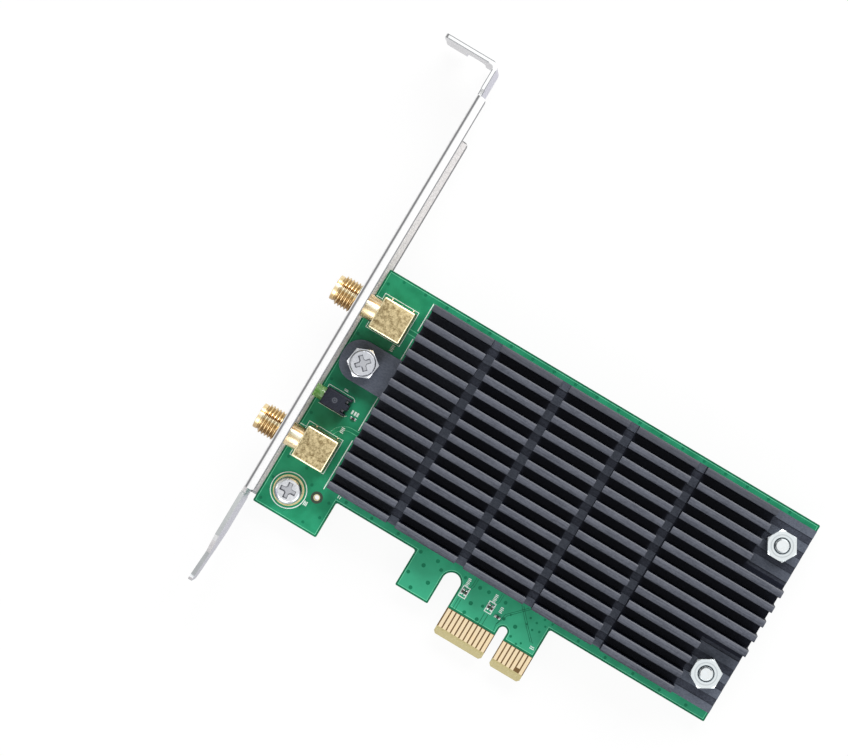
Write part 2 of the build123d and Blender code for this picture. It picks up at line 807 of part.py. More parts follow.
# Hex-head screw with a raised disc, through the heatsink's ear into the bracket tab
with BuildPart() as ear_screw:
    with BuildSketch(Plane.XY.offset(mill_floor_z)):
        with Locations((screw_x, upper_screw_y)):
            RegularPolygon(
                radius=hex_across_flats / 2,
                side_count=6,
                major_radius=False,
                rotation=hex_turn,
            )
    extrude(amount=hex_head_height - hex_disc_height)
    with BuildSketch(Plane.XZ.offset(-upper_screw_y)):
        with BuildLine():
            Polyline(
                (screw_x, mill_floor_z),
                (screw_x + hex_across_flats, mill_floor_z),
                (screw_x + hex_across_flats, hex_shoulder_z - hex_corner_drop),
                (screw_x + hex_across_flats / 2, hex_shoulder_z),
                (screw_x, hex_shoulder_z),
                close=True,
            )
        make_face()
    revolve(axis=Axis((screw_x, upper_screw_y, 0), (0, 0, 1)), mode=Mode.INTERSECT)
    with BuildSketch(Plane.XY.offset(hex_shoulder_z)):
        with Locations((screw_x, upper_screw_y)):
            Circle(hex_disc_radius)
    extrude(amount=hex_disc_height)
    fillet(ear_screw.edges().sort_by(Axis.Z)[-1], radius=hex_disc_rounding)
    with BuildSketch(Plane.XY.offset(boss_end_z + 0.2)):
        with Locations((screw_x, upper_screw_y)):
            Circle(screw_shank_radius)
    extrude(amount=mill_floor_z - boss_end_z - 0.2)
    with BuildSketch(Plane.XY.offset(mill_floor_z + hex_head_height)):
        with Locations((screw_x, upper_screw_y)):
            Rectangle(recess_wing_length, recess_wing_width, rotation=hex_recess_turn)
            Rectangle(recess_wing_width, recess_wing_length, rotation=hex_recess_turn)
            Rectangle(recess_hub_width, recess_hub_width, rotation=hex_recess_turn + 45)
    extrude(amount=-recess_depth, taper=recess_taper, mode=Mode.SUBTRACT)
ear_screw.part.label = "ear_screw"
export_step(ear_screw.part, "parts/ear_screw.step")

# Pan-head screw through the board's lower leg into the bracket's lower tab
with BuildPart() as board_screw:
    with BuildSketch(Plane.XY.offset(top_z)):
        with Locations((screw_x, lower_screw_y)):
            Circle(pan_head_radius)
    extrude(amount=pan_head_height)
    fillet(board_screw.edges().sort_by(Axis.Z)[-1], radius=pan_head_rounding)
    with BuildSketch(Plane.XY.offset(boss_end_z + 0.2)):
        with Locations((screw_x, lower_screw_y)):
            Circle(screw_shank_radius)
    extrude(amount=top_z - boss_end_z - 0.2)
    with BuildSketch(Plane.XY.offset(top_z + pan_head_height)):
        with Locations((screw_x, lower_screw_y)):
            Rectangle(recess_wing_length, recess_wing_width, rotation=pan_recess_turn)
            Rectangle(recess_wing_width, recess_wing_length, rotation=pan_recess_turn)
            Rectangle(recess_hub_width, recess_hub_width, rotation=pan_recess_turn + 45)
    extrude(amount=-recess_depth, taper=recess_taper, mode=Mode.SUBTRACT)
board_screw.part.label = "board_screw"
export_step(board_screw.part, "parts/board_screw.step")

# Spacer between the board and the heatsink's ear
with BuildPart() as ear_spacer:
    with BuildSketch(Plane.XY.offset(top_z)):
        with Locations((screw_x, upper_screw_y)):
            Circle(spacer_radius)
            Circle(screw_shank_radius + spacer_clearance, mode=Mode.SUBTRACT)
    extrude(amount=heatsink_standoff)
ear_spacer.part.label = "ear_spacer"
export_step(ear_spacer.part, "parts/ear_spacer.step")


# Screws from the solder side, spacers and nuts at the heatsink's far end
for name, y, turn in zip(("upper", "lower"), nut_ys, (0, 30)):
    with BuildPart() as heatsink_screw:
        with BuildSketch(Plane.XY.offset(low_z)):
            with Locations((nut_x, y)):
                Circle(back_head_radius)
        extrude(amount=-back_head_height)
        fillet(heatsink_screw.edges().sort_by(Axis.Z)[0], radius=pan_head_rounding)
        with BuildSketch(Plane.XY.offset(low_z)):
            with Locations((nut_x, y)):
                Circle(heatsink_screw_radius)
        extrude(amount=nut_top_z + stud_above_nut - low_z)
        chamfer(heatsink_screw.edges().sort_by(Axis.Z)[-1], length=nut_chamfer)
        with BuildSketch(Plane.XY.offset(low_z - back_head_height)):
            with Locations((nut_x, y)):
                Rectangle(recess_wing_length, recess_wing_width)
                Rectangle(recess_wing_width, recess_wing_length)
                Rectangle(recess_hub_width, recess_hub_width, rotation=45)
        extrude(amount=recess_depth, taper=recess_taper, mode=Mode.SUBTRACT)
    heatsink_screw.part.label = name + "_heatsink_screw"
    export_step(heatsink_screw.part, "parts/" + name + "_heatsink_screw.step")

    with BuildPart() as heatsink_spacer:
        with BuildSketch(Plane.XY.offset(top_z)):
            with Locations((nut_x, y)):
                Circle(spacer_radius)
                Circle(heatsink_screw_radius + spacer_clearance, mode=Mode.SUBTRACT)
        extrude(amount=heatsink_standoff)
    heatsink_spacer.part.label = name + "_heatsink_spacer"
    export_step(heatsink_spacer.part, "parts/" + name + "_heatsink_spacer.step")

    with BuildPart() as heatsink_nut:
        with BuildSketch(Plane.XY.offset(mill_floor_z)):
            with Locations((nut_x, y)):
                RegularPolygon(
                    radius=nut_across_flats / 2,
                    side_count=6,
                    major_radius=False,
                    rotation=turn,
                )
        extrude(amount=nut_height)
        with BuildSketch(Plane.XZ.offset(-y)):
            with BuildLine():
                Polyline(
                    (nut_x, mill_floor_z),
                    (nut_x + nut_across_flats, mill_floor_z),
                    (nut_x + nut_across_flats, nut_top_z - nut_across_flats / 3.5),
                    (nut_x + nut_across_flats / 2 + nut_chamfer / 3, nut_top_z),
                    (nut_x, nut_top_z),
                    close=True,
                )
            make_face()
        revolve(axis=Axis((nut_x, y, 0), (0, 0, 1)), mode=Mode.INTERSECT)
        with Locations((nut_x, y, nut_top_z)):
            Hole(heatsink_screw_radius + thread_clearance)
        inner = heatsink_nut.edges().filter_by(GeomType.CIRCLE).sort_by(SortBy.RADIUS)[:2]
        chamfer(inner.sort_by(Axis.Z)[-1], length=nut_chamfer)
    heatsink_nut.part.label = name + "_heatsink_nut"
    export_step(heatsink_nut.part, "parts/" + name + "_heatsink_nut.step")


# Chips under the heatsink
radio_place = (left_x + radio_chip_from_edge, top_y - radio_chip_below_top)

with BuildPart() as radio_chip:
    with BuildSketch(Plane.XY.offset(top_z)):
        with Locations(radio_place):
            Rectangle(radio_chip_size, radio_chip_size)
    extrude(amount=radio_chip_height)
radio_chip.part.label = "radio_chip"
export_step(radio_chip.part, "parts/radio_chip.step")

with BuildPart() as thermal_pad:
    with BuildSketch(Plane.XY.offset(top_z + radio_chip_height)):
        with Locations(radio_place):
            Rectangle(thermal_pad_size, thermal_pad_size)
    extrude(amount=heatsink_standoff - radio_chip_height)
thermal_pad.part.label = "thermal_pad"
export_step(thermal_pad.part, "parts/thermal_pad.step")

for name, y in zip(("upper", "lower"), socket_ys):
    with BuildPart() as amplifier_chip:
        with BuildSketch(Plane.XY.offset(top_z)):
            with Locations((left_x + amplifier_from_edge, y)):
                Rectangle(amplifier_size, amplifier_size)
        extrude(amount=amplifier_height)
    amplifier_chip.part.label = name + "_amplifier_chip"
    export_step(amplifier_chip.part, "parts/" + name + "_amplifier_chip.step")

with BuildPart() as memory_chip:
    with BuildSketch(Plane.XY.offset(top_z)):
        with Locations((left_x + memory_from_edge, top_y - memory_below_top)):
            Rectangle(memory_length, memory_width)
    extrude(amount=memory_height)
memory_chip.part.label = "memory_chip"
export_step(memory_chip.part, "parts/memory_chip.step")

with BuildPart() as clock_crystal:
    with BuildSketch(Plane.XY.offset(top_z)):
        with Locations((left_x + crystal_from_edge, top_y - crystal_below_top)):
            Rectangle(crystal_length, crystal_width)
    extrude(amount=crystal_height)
clock_crystal.part.label = "clock_crystal"
export_step(clock_crystal.part, "parts/clock_crystal.step")

with BuildPart() as regulator_chip:
    with BuildSketch(Plane.XY.offset(top_z)):
        with Locations((left_x + regulator_from_edge, top_y - regulator_below_top)):
            Rectangle(regulator_size, regulator_size)
    extrude(amount=regulator_height)
regulator_chip.part.label = "regulator_chip"
export_step(regulator_chip.part, "parts/regulator_chip.step")

with BuildPart() as power_inductor:
    with BuildSketch(Plane.XY.offset(top_z)):
        with Locations((left_x + inductor_from_edge, top_y - regulator_below_top)):
            RectangleRounded(inductor_size, inductor_size, inductor_corner_radius)
    extrude(amount=inductor_height)
power_inductor.part.label = "power_inductor"
export_step(power_inductor.part, "parts/power_inductor.step")

# Small two-terminal parts: name, places on the board, and whether they lie along X
pair_y = contact_top + pair_above_contacts
small_parts = [
    (
        "left_coupling_capacitors",
        [(left_x + left_pair_from_edge + side * pair_spacing / 2, pair_y) for side in (-1, 1)],
        False,
    ),
    (
        "right_coupling_capacitors",
        [(left_x + right_pair_from_edge + side * pair_spacing / 2, pair_y) for side in (-1, 1)],
        False,
    ),
    (
        "tongue_resistor",
        [(left_x + tongue_resistor_from_edge, contact_top + tongue_resistor_above_contacts)],
        True,
    ),
    (
        "diode_resistor",
        [(left_x + diode_resistor_from_edge, top_y - diode_resistor_below_top)],
        True,
    ),
    (
        "supply_capacitors",
        [
            (left_x + supply_row_from_edge + i * supply_row_pitch, top_y - supply_row_below_top)
            for i in range(supply_row_count)
        ],
        False,
    ),
]
for name, places, along_x in small_parts:
    length = small_part_length if along_x else small_part_width
    width = small_part_width if along_x else small_part_length
    with BuildPart() as small_part:
        with BuildSketch(Plane.XY.offset(top_z)):
            with Locations(*places):
                Rectangle(length, width)
        extrude(amount=small_part_height)
    small_part.part.label = name
    export_step(small_part.part, "parts/" + name + ".step")


# Solder joints round the legs, pins and leads on the solder side
with BuildPart() as solder_joints:
    joints = [(x, y, socket_leg_radius) for x, y in leg_places]
    joints += [(x, y, pin_radius) for x, y in pin_places]
    for x, y, inner_radius in joints:
        with BuildSketch(Plane.XZ.offset(-y)):
            with BuildLine():
                Polyline(
                    (x + inner_radius, low_z),
                    (x + joint_radius, low_z),
                    (x + (joint_radius + inner_radius) / 2, low_z - joint_height / 2.5),
                    (x + inner_radius, low_z - joint_height),
                    close=True,
                )
            make_face()
        revolve(axis=Axis((x, y, 0), (0, 0, 1)))
    for x, y in lead_places:
        with BuildSketch(Plane.XY.offset(low_z)):
            with Locations((x, y)):
                Circle(joint_radius * 0.75)
                Rectangle(lead_size, lead_size, mode=Mode.SUBTRACT)
        extrude(amount=-joint_height / 2)
solder_joints.part.label = "solder_joints"
export_step(solder_joints.part, "parts/solder_joints.step")
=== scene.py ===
"""Looks for a wireless expansion card: board, bracket, heatsink, sockets and screws."""

import math
import random

import bmesh
import bpy
from mathutils import Matrix, Vector


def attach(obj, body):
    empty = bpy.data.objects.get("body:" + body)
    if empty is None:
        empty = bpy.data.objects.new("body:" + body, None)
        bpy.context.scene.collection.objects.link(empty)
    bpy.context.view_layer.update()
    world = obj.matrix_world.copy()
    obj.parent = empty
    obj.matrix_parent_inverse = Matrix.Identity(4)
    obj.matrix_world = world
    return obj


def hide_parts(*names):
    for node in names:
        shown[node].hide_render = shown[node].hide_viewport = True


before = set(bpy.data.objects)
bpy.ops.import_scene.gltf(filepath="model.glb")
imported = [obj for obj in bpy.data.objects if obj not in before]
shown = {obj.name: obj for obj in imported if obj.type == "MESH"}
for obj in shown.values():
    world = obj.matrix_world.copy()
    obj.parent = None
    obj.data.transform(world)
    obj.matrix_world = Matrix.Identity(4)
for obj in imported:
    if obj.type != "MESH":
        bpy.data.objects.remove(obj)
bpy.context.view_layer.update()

MM = 0.001

# Places on the card, in millimetres, in the card's own frame
BOARD_LEFT = -57.25
BOARD_RIGHT = 44.45
BOARD_TOP = 58.9
BODY_LOW = 12.55
BOARD_FACE = 0.785
BOARD_BACK = -0.785
PLATE_OUTER = -59.4
SOCKET_YS = (50.25, 20.25)
SOCKET_Z = 7.555
SOCKET_X = -51.25
BARREL_END = -64.6
NECK_END = -58.49
HALF_PITCH = 15.0
DIODE_Y = 30.35
LOW_SCREW = (-52.05, 9.77)
PAN_TOP = 2.885
HEX_TOP = 6.405
LOW_NUT = (39.45, 21.45)

# The heatsink's pattern: grooves along the card, fins counted down from its top edge
GROOVES_FROM = -31.58
GROOVES_TO = 20.0
GROOVE_PITCH = 16.0
GROOVE_WIDTH = 2.0
POCKETS_FROM = 35.07
POCKETS_BETWEEN = (27.5, 44.7)
FINS_FROM = 57.48
FIRST_FIN_LOW = 55.9
FIN_PITCH = 3.44
FIN_TOP_WIDTH = 1.48
FIN_TOPS = 9.45
GAP_FLOOR = 3.7

# Camera: straight above the card, turned as the card lies in the picture
VIEW_TURN = math.radians(30.81)
VIEW_FOOT = (-19.25, 58.9)
VIEW_HEIGHT = 700.0
VIEW_WIDTH = 172.46
VIEW_SHIFT = (-0.1499, -0.0152)
SENSOR = 36.0

# A surface faces along an axis where its normal reaches this
SQUARE_ON = 0.9
# From one of a pair (sockets, screws, nuts) to the other
TWIN_STEP = 2 * HALF_PITCH


def paint(red, green, blue):
    """A display colour, 0 to 255, as the linear colour that a shader takes."""
    values = [channel / 255 for channel in (red, green, blue)]
    return tuple(v / 12.92 if v <= 0.04045 else ((v + 0.055) / 1.055) ** 2.4 for v in values)


def on_board(across, down):
    """A place counted from the board's corner beside the bracket at its top edge."""
    return BOARD_LEFT + across, BOARD_TOP - down


class Finish:
    """A procedural material whose patterns lie on the piece's own coordinates."""

    def __init__(self, name, metallic=0.0, roughness=0.5, **sockets):
        self.material = bpy.data.materials.new(name)
        self.material.use_nodes = True
        self.nodes = self.material.node_tree.nodes
        self.links = self.material.node_tree.links
        self.shader = self.nodes["Principled BSDF"]
        self.set("Metallic", metallic)
        self.set("Roughness", roughness)
        for socket, value in sockets.items():
            self.set(socket.replace("_", " "), value)
        where = self.nodes.new("ShaderNodeTexCoord")
        self.place = where.outputs["Object"]
        self.facing = where.outputs["Normal"]

    def set(self, socket, value):
        self.feed(self.shader.inputs[socket], value)

    def feed(self, socket, value):
        """Links another node's output, or sets a number or a display colour."""
        if isinstance(value, bpy.types.NodeSocket):
            self.links.new(value, socket)
        elif isinstance(value, tuple):
            socket.default_value = (*paint(*value), 1.0)
        else:
            socket.default_value = value

    def stretched(self, x, y, z):
        node = self.nodes.new("ShaderNodeMapping")
        node.inputs["Scale"].default_value = (x, y, z)
        self.links.new(self.place, node.inputs["Vector"])
        return node.outputs["Vector"]

    def noise(self, size, detail=3.0, roughness=0.55, vector=None):
        node = self.nodes.new("ShaderNodeTexNoise")
        node.inputs["Scale"].default_value = 1.0 / (size * MM)
        node.inputs["Detail"].default_value = detail
        node.inputs["Roughness"].default_value = roughness
        self.links.new(vector or self.place, node.inputs["Vector"])
        return node.outputs["Fac"]

    def cells(self, size):
        node = self.nodes.new("ShaderNodeTexVoronoi")
        node.inputs["Scale"].default_value = 1.0 / (size * MM)
        self.links.new(self.place, node.inputs["Vector"])
        return node.outputs["Distance"]

    def calc(self, operation, first, second=0.0, third=0.0):
        node = self.nodes.new("ShaderNodeMath")
        node.operation = operation
        for socket, value in zip(node.inputs, (first, second, third)):
            self.feed(socket, value)
        return node.outputs["Value"]

    def times(self, first, second):
        return self.calc("MULTIPLY", first, second)

    def minus(self, first, second):
        return self.calc("SUBTRACT", first, second)

    def over(self, value, limit):
        """1 where the value is above the limit, else 0."""
        return self.calc("GREATER_THAN", value, limit)

    def under(self, value, limit):
        """1 where the value is below the limit, else 0."""
        return self.calc("LESS_THAN", value, limit)

    def either(self, first, second):
        return self.calc("MAXIMUM", first, second)

    def axis(self, name, of=None):
        node = self.nodes.new("ShaderNodeSeparateXYZ")
        self.links.new(of or self.place, node.inputs["Vector"])
        return node.outputs[name]

    def faces(self, name):
        """How far the surface faces along an axis, from -1 to 1."""
        return self.axis(name, self.facing)

    def span(self, value, low, high, to_low=0.0, to_high=1.0):
        node = self.nodes.new("ShaderNodeMapRange")
        for name, number in (
            ("Value", value),
            ("From Min", low),
            ("From Max", high),
            ("To Min", to_low),
            ("To Max", to_high),
        ):
            self.feed(node.inputs[name], number)
        return node.outputs["Result"]

    def blend(self, factor, first, second):
        node = self.nodes.new("ShaderNodeMix")
        node.data_type = "RGBA"
        self.feed(node.inputs[0], factor)
        self.feed(node.inputs[6], first)
        self.feed(node.inputs[7], second)
        return node.outputs[2]

    def colour(self):
        """What the base colour is fed with so far."""
        return self.shader.inputs["Base Color"].links[0].from_socket

    def bump(self, height, depth, strength=1.0):
        node = self.nodes.new("ShaderNodeBump")
        node.inputs["Strength"].default_value = strength
        node.inputs["Distance"].default_value = depth * MM
        self.feed(node.inputs["Height"], height)
        self.links.new(node.outputs["Normal"], self.shader.inputs["Normal"])


# Finishes


def woven_height(finish, pitch=0.5):
    """The faint weave of the glass cloth under the board's skin."""
    turns = 2 * math.pi / (pitch * MM)
    across = finish.calc("SINE", finish.times(finish.axis("X"), turns))
    along = finish.calc("SINE", finish.times(finish.axis("Y"), turns))
    return finish.times(across, along)


def mask_finish(name, colour, deep, roughness=0.38):
    """Green solder mask, a little uneven in depth."""
    finish = Finish(name, roughness=roughness, Specular_IOR_Level=0.22, Coat_Weight=0.04)
    patches = finish.span(finish.noise(4.2, 2.0), 0.35, 0.65)
    finish.set("Base Color", finish.blend(patches, deep, colour))
    finish.bump(finish.calc("ADD", woven_height(finish), finish.noise(0.35)), 0.006, 0.25)
    return finish


def pour_finish():
    """Mask over copper, with painted light making it paler on the board's middle leg and tongue.
    """
    finish = mask_finish("copper_under_mask", (40, 154, 112), (24, 132, 92), 0.34)
    mask = finish.colour()
    # Painted light: the mask lighter towards the low edge, on the middle leg and the tongue.
    low = finish.span(finish.axis("Y"), 9.0 * MM, 16.0 * MM, 0.55, 0.0)
    past_screw_leg = finish.over(finish.axis("X"), -42.0 * MM)
    pale = finish.times(low, past_screw_leg)
    finish.set("Base Color", finish.blend(pale, mask, (72, 184, 144)))
    return finish


def board_finish():
    """Solder mask over bare laminate, bare laminate round the contacts and on the edges, with
    painted shade darkening it between the contacts.
    """
    finish = mask_finish("board_mask", (10, 116, 80), (8, 102, 70))
    mask = finish.colour()
    fibres = finish.noise(0.3, 4.0, vector=finish.stretched(1.0, 0.25, 1.0))
    # Painted shade: the bare laminate between the contacts darker brown than on the bevel.
    between = finish.blend(fibres, (92, 68, 36), (118, 92, 56))
    bevel = finish.blend(fibres, (164, 152, 106), (190, 180, 134))
    low_rim = finish.under(finish.axis("Y"), 1.65 * MM)
    bare = finish.blend(low_rim, between, bevel)
    below = finish.under(finish.axis("Y"), 5.9 * MM)
    tongue = finish.over(finish.axis("X"), -14.0 * MM)
    contact_zone = finish.times(below, tongue)
    skin = finish.blend(contact_zone, mask, bare)
    upright = finish.calc("ABSOLUTE", finish.faces("Z"))
    side = finish.under(upright, 0.3)
    layers = finish.noise(0.22, 2.0, vector=finish.stretched(0.1, 0.1, 1.0))
    edge = finish.blend(layers, (118, 142, 92), (176, 190, 140))
    finish.set("Base Color", finish.blend(side, skin, edge))
    return finish


def gold_mottle(finish, patch, contrast):
    """Uneven brightness of two sizes, coarse patches with finer specks in them."""
    coarse = finish.span(finish.noise(patch, 3.0, 0.6), contrast[0], contrast[1])
    fine = finish.span(finish.noise(patch * 0.28, 2.0, 0.6), 0.32, 0.68)
    return finish.calc("MULTIPLY_ADD", coarse, 0.62, finish.times(fine, 0.38))


def gold_finish(name, light, dark, roughness=0.3, patch=0.5, contrast=(0.35, 0.65), depth=0.004):
    """Gold plating with uneven, mottled brightness."""
    finish = Finish(name, metallic=1.0, roughness=roughness)
    mottle = gold_mottle(finish, patch, contrast)
    finish.set("Base Color", finish.blend(mottle, dark, light))
    finish.set("Roughness", finish.span(mottle, 0.0, 1.0, roughness + 0.12, roughness - 0.06))
    finish.bump(finish.noise(patch * 0.5, 3.0), depth, 0.5)
    return finish


def from_nearer_twin(finish, y):
    """How far along the board's edge a point is from a place or its twin, one socket pitch up."""
    first = (y - HALF_PITCH) * MM
    step = finish.calc("MODULO", finish.minus(finish.axis("Y"), first), TWIN_STEP * MM)
    return finish.minus(step, HALF_PITCH * MM)


def block_gold_finish():
    """Cast and plated block, rough and mottled on its faces, with a painted highlight pale along
    its rims.
    """
    finish = gold_finish(
        "socket_gold_block", (240, 221, 173), (104, 84, 46), 0.34, 0.8, (0.38, 0.62), 0.012
    )
    body = finish.colour()
    across = finish.calc("ABSOLUTE", finish.minus(finish.axis("X"), SOCKET_X * MM))
    along = finish.calc("ABSOLUTE", from_nearer_twin(finish, SOCKET_YS[1]))
    # Painted highlight: a pale line along the block's rounded top rims.
    rim = finish.span(finish.either(across, along), 3.18 * MM, 3.3 * MM)
    rim = finish.times(rim, finish.over(finish.axis("Z"), 10.7 * MM))
    finish.set("Base Color", finish.blend(rim, body, (255, 244, 206)))
    return finish


def turned_gold_finish():
    """Turned neck and barrel with painted reflections and shade: a pale highlight band with a dark
    reflected line above it, painted shade along the barrel's side towards the card's low edge and
    along the neck's side towards its top edge, and painted shade in the thread roots.
    """
    neck_reach, barrel_reach = 2.5, 2.9
    finish = gold_finish("socket_gold_turned", (255, 240, 200), (230, 198, 138), 0.28, 0.45)
    along, height = finish.axis("X"), finish.axis("Z")
    offset = from_nearer_twin(finish, SOCKET_YS[1])
    neck = finish.over(along, NECK_END * MM)
    above = finish.over(height, SOCKET_Z * MM)
    reach = finish.span(neck, 0.0, 1.0, barrel_reach * MM, neck_reach * MM)
    share = finish.calc("DIVIDE", offset, reach)
    tinted = finish.blend(finish.times(neck, 0.6), finish.colour(), (240, 220, 184))
    # Painted shade along the barrel's side towards the card's low edge.
    below = finish.times(finish.span(share, -0.85, -0.05, 0.6, 0.0), finish.minus(1.0, neck))
    tinted = finish.blend(below, tinted, (136, 96, 48))
    # Painted highlight: a pale band on the side facing up, just off the axis towards the card's
    # top edge.
    line_at = finish.span(neck, 0.0, 1.0, 0.36, 0.5)
    low_end = finish.span(share, -0.02, 0.08)
    high_end = finish.span(finish.minus(line_at, share), 0.05, 0.12)
    pale = finish.times(finish.times(low_end, high_end), above)
    tinted = finish.blend(pale, tinted, (255, 248, 222))
    # Painted shade along the neck's side towards the card's top edge.
    shade = finish.times(finish.span(share, 0.6, 0.75), finish.times(neck, 0.55))
    tinted = finish.blend(shade, tinted, (150, 118, 74))
    # Painted reflection: a dark line just beyond the pale band.
    gap = finish.calc("ABSOLUTE", finish.minus(share, line_at))
    line = finish.times(finish.span(gap, 0.05, 0.13, 1.0, 0.0), finish.times(above, 0.85))
    tinted = finish.blend(line, tinted, (108, 74, 34))
    return paint_thread_root_shade(finish, tinted, along, height, offset)


def paint_thread_root_shade(finish, colour, along, height, offset):
    """Painted shade: darkens the barrel towards its axis between the collar and the plate, deepest
    in the thread roots.
    """
    root, crest, thread_from, thread_to = 2.8, 3.1, BARREL_END + 0.88, PLATE_OUTER - 0.1
    rise = finish.minus(height, SOCKET_Z * MM)
    square = finish.calc("MULTIPLY_ADD", offset, offset, finish.times(rise, rise))
    depth = finish.span(finish.calc("SQRT", square), root * MM, crest * MM, 0.5, 0.0)
    depth = finish.times(depth, finish.over(along, thread_from * MM))
    depth = finish.times(depth, finish.under(along, thread_to * MM))
    finish.set("Base Color", finish.blend(depth, colour, (116, 80, 38)))
    return finish


def contact_finish():
    """Flat gold contacts with fine wiping marks along their length."""
    finish = Finish("contact_gold", metallic=1.0, roughness=0.28)
    wiped = finish.noise(0.12, 3.0, vector=finish.stretched(1.0, 0.06, 1.0))
    streaks = finish.span(wiped, 0.3, 0.7)
    finish.set("Base Color", finish.blend(streaks, (246, 220, 176), (255, 238, 205)))
    finish.set("Roughness", finish.span(wiped, 0.3, 0.7, 0.4, 0.24))
    finish.bump(wiped, 0.002, 0.3)
    return finish


def steel_mottle(finish, speckle):
    """Small pale and dark crystals."""
    grains = finish.span(finish.cells(speckle), 0.1, 0.6)
    cloud = finish.span(finish.noise(speckle * 2.4, 4.0, 0.65), 0.3, 0.7)
    return finish.calc("MULTIPLY_ADD", grains, 0.45, finish.times(cloud, 0.55))


def steel_finish(name, light, dark, roughness=0.34, speckle=0.34):
    """Plated steel with a fine crystal speckle."""
    finish = Finish(name, metallic=1.0, roughness=roughness)
    mottle = steel_mottle(finish, speckle)
    finish.set("Base Color", finish.blend(mottle, dark, light))
    finish.set("Roughness", finish.span(mottle, 0.0, 1.0, roughness + 0.1, roughness - 0.06))
    finish.bump(mottle, 0.01, 0.35)
    return finish


def from_pair_axis(finish, x, y):
    """Distance from the upright axis through a place or through its twin."""
    across, along = finish.minus(finish.axis("X"), x * MM), from_nearer_twin(finish, y)
    square = finish.calc("MULTIPLY_ADD", across, across, finish.times(along, along))
    return finish.calc("SQRT", square)


def screw_finish():
    """Nickel plated screws with painted shade: a grey cross recess with dark sides, and a darker
    line round the head's flat top.
    """
    finish = steel_finish("nickel_screw", (250, 252, 255), (206, 208, 216), 0.24, 0.5)
    body = finish.colour()
    radius = from_pair_axis(finish, *LOW_SCREW)
    height = finish.axis("Z")
    upward = finish.over(finish.faces("Z"), 0.97)
    sloped = finish.minus(1.0, upward)
    inner = finish.under(radius, 1.8 * MM)
    painted_recess_shade = finish.times(inner, sloped)
    ear_head = finish.over(height, 3.5 * MM)
    head_top = finish.span(ear_head, 0.0, 1.0, PAN_TOP * MM, HEX_TOP * MM)
    below_top = finish.under(height, finish.minus(head_top, 0.4 * MM))
    sunk = finish.times(inner, below_top)
    colour = finish.blend(finish.times(ear_head, 0.3), body, (176, 180, 192))
    # Painted shade: an even grey on the recess floor and dark on its sides.
    colour = finish.blend(sunk, colour, (206, 208, 214))
    colour = finish.blend(painted_recess_shade, colour, (84, 86, 96))
    # Painted shade: a darker line on the sloped edge round the head's flat top, stronger on the
    # hex head.
    rim = finish.over(radius, 2.3 * MM)
    painted_head_edge_shade = finish.times(finish.times(rim, sloped), finish.under(radius, 2.9 * MM))
    darkening = finish.span(ear_head, 0.0, 1.0, 0.2, 0.7)
    colour = finish.blend(finish.times(painted_head_edge_shade, darkening), colour, (96, 98, 108))
    finish.set("Base Color", colour)
    return finish


def nut_finish():
    """Nickel plated nut, painted dark round the screw's end as shade, with a faint turned ring
    outside that.
    """
    finish = steel_finish("nickel_nut", (248, 254, 255), (216, 224, 228), 0.3, 0.4)
    body = finish.colour()
    radius = from_pair_axis(finish, *LOW_NUT)
    # Painted shade: dark round the screw's end.
    painted_mouth_shade = finish.span(radius, 1.64 * MM, 1.8 * MM, 1.0, 0.0)
    off_ring = finish.calc("ABSOLUTE", finish.minus(radius, 2.25 * MM))
    turned_ring = finish.span(off_ring, 0.04 * MM, 0.2 * MM, 0.4, 0.0)
    colour = finish.blend(turned_ring, body, (150, 158, 162))
    finish.set("Base Color", finish.blend(painted_mouth_shade, colour, (104, 110, 116)))
    return finish


def bracket_sides(finish, mottle, near):
    """Flanges and plate with painted light and shade: the near flange whiter as painted light, the
    plate's inner side painted pale beside the board and greyer past it, and faces towards the
    card's low edge painted grey as shade.
    """
    beside_from, beside_to = 7.0, 97.0
    # Painted light: the near flange whiter than the same plating on the far flange.
    plain = finish.blend(mottle, (206, 203, 204), (248, 245, 245))
    whiter = finish.blend(mottle, (226, 226, 226), (252, 252, 252))
    colour = finish.blend(near, plain, whiter)
    up_card = finish.axis("Y")
    beside_board = finish.times(
        finish.under(up_card, beside_to * MM), finish.over(up_card, beside_from * MM)
    )
    # Painted light beside the board and painted shade past it, on the plate's inner side.
    painted_inner_light_shade = finish.blend(beside_board, (168, 168, 188), (240, 240, 236))
    inner_side = finish.times(finish.over(finish.faces("X"), SQUARE_ON), 0.8)
    colour = finish.blend(inner_side, colour, painted_inner_light_shade)
    # Painted shade on faces towards the card's low edge.
    painted_low_side_shade = finish.times(finish.under(finish.faces("Y"), -SQUARE_ON), 0.8)
    return finish.blend(painted_low_side_shade, colour, (184, 184, 188))


def bracket_tab(finish, colour, mottle):
    """The edges of tab and plate beyond the board, with a dark line painted as shade along their
    borders.
    """
    zone_from, tab_low, tab_high = 97.7, 104.3, 104.84
    outer_line, inner_line, lines_to, past_plate = -59.24, -58.68, 103.4, -60.6
    along, up_card = finish.axis("X"), finish.axis("Y")
    on_tab = finish.times(
        finish.over(up_card, zone_from * MM), finish.over(finish.faces("Z"), SQUARE_ON)
    )
    steel = finish.blend(mottle, (226, 228, 228), (242, 243, 243))
    colour = finish.blend(on_tab, colour, steel)
    low_line = finish.times(
        finish.under(along, past_plate * MM), finish.under(up_card, tab_low * MM)
    )
    tab_line = finish.either(finish.over(up_card, tab_high * MM), low_line)
    plate_line = finish.either(
        finish.under(along, outer_line * MM), finish.over(along, inner_line * MM)
    )
    plate_line = finish.times(plate_line, finish.under(up_card, lines_to * MM))
    # Painted shade: a dark line along the borders of tab and plate.
    line = finish.times(finish.either(tab_line, plate_line), on_tab)
    return finish.blend(finish.times(line, 0.85), colour, (116, 118, 122))


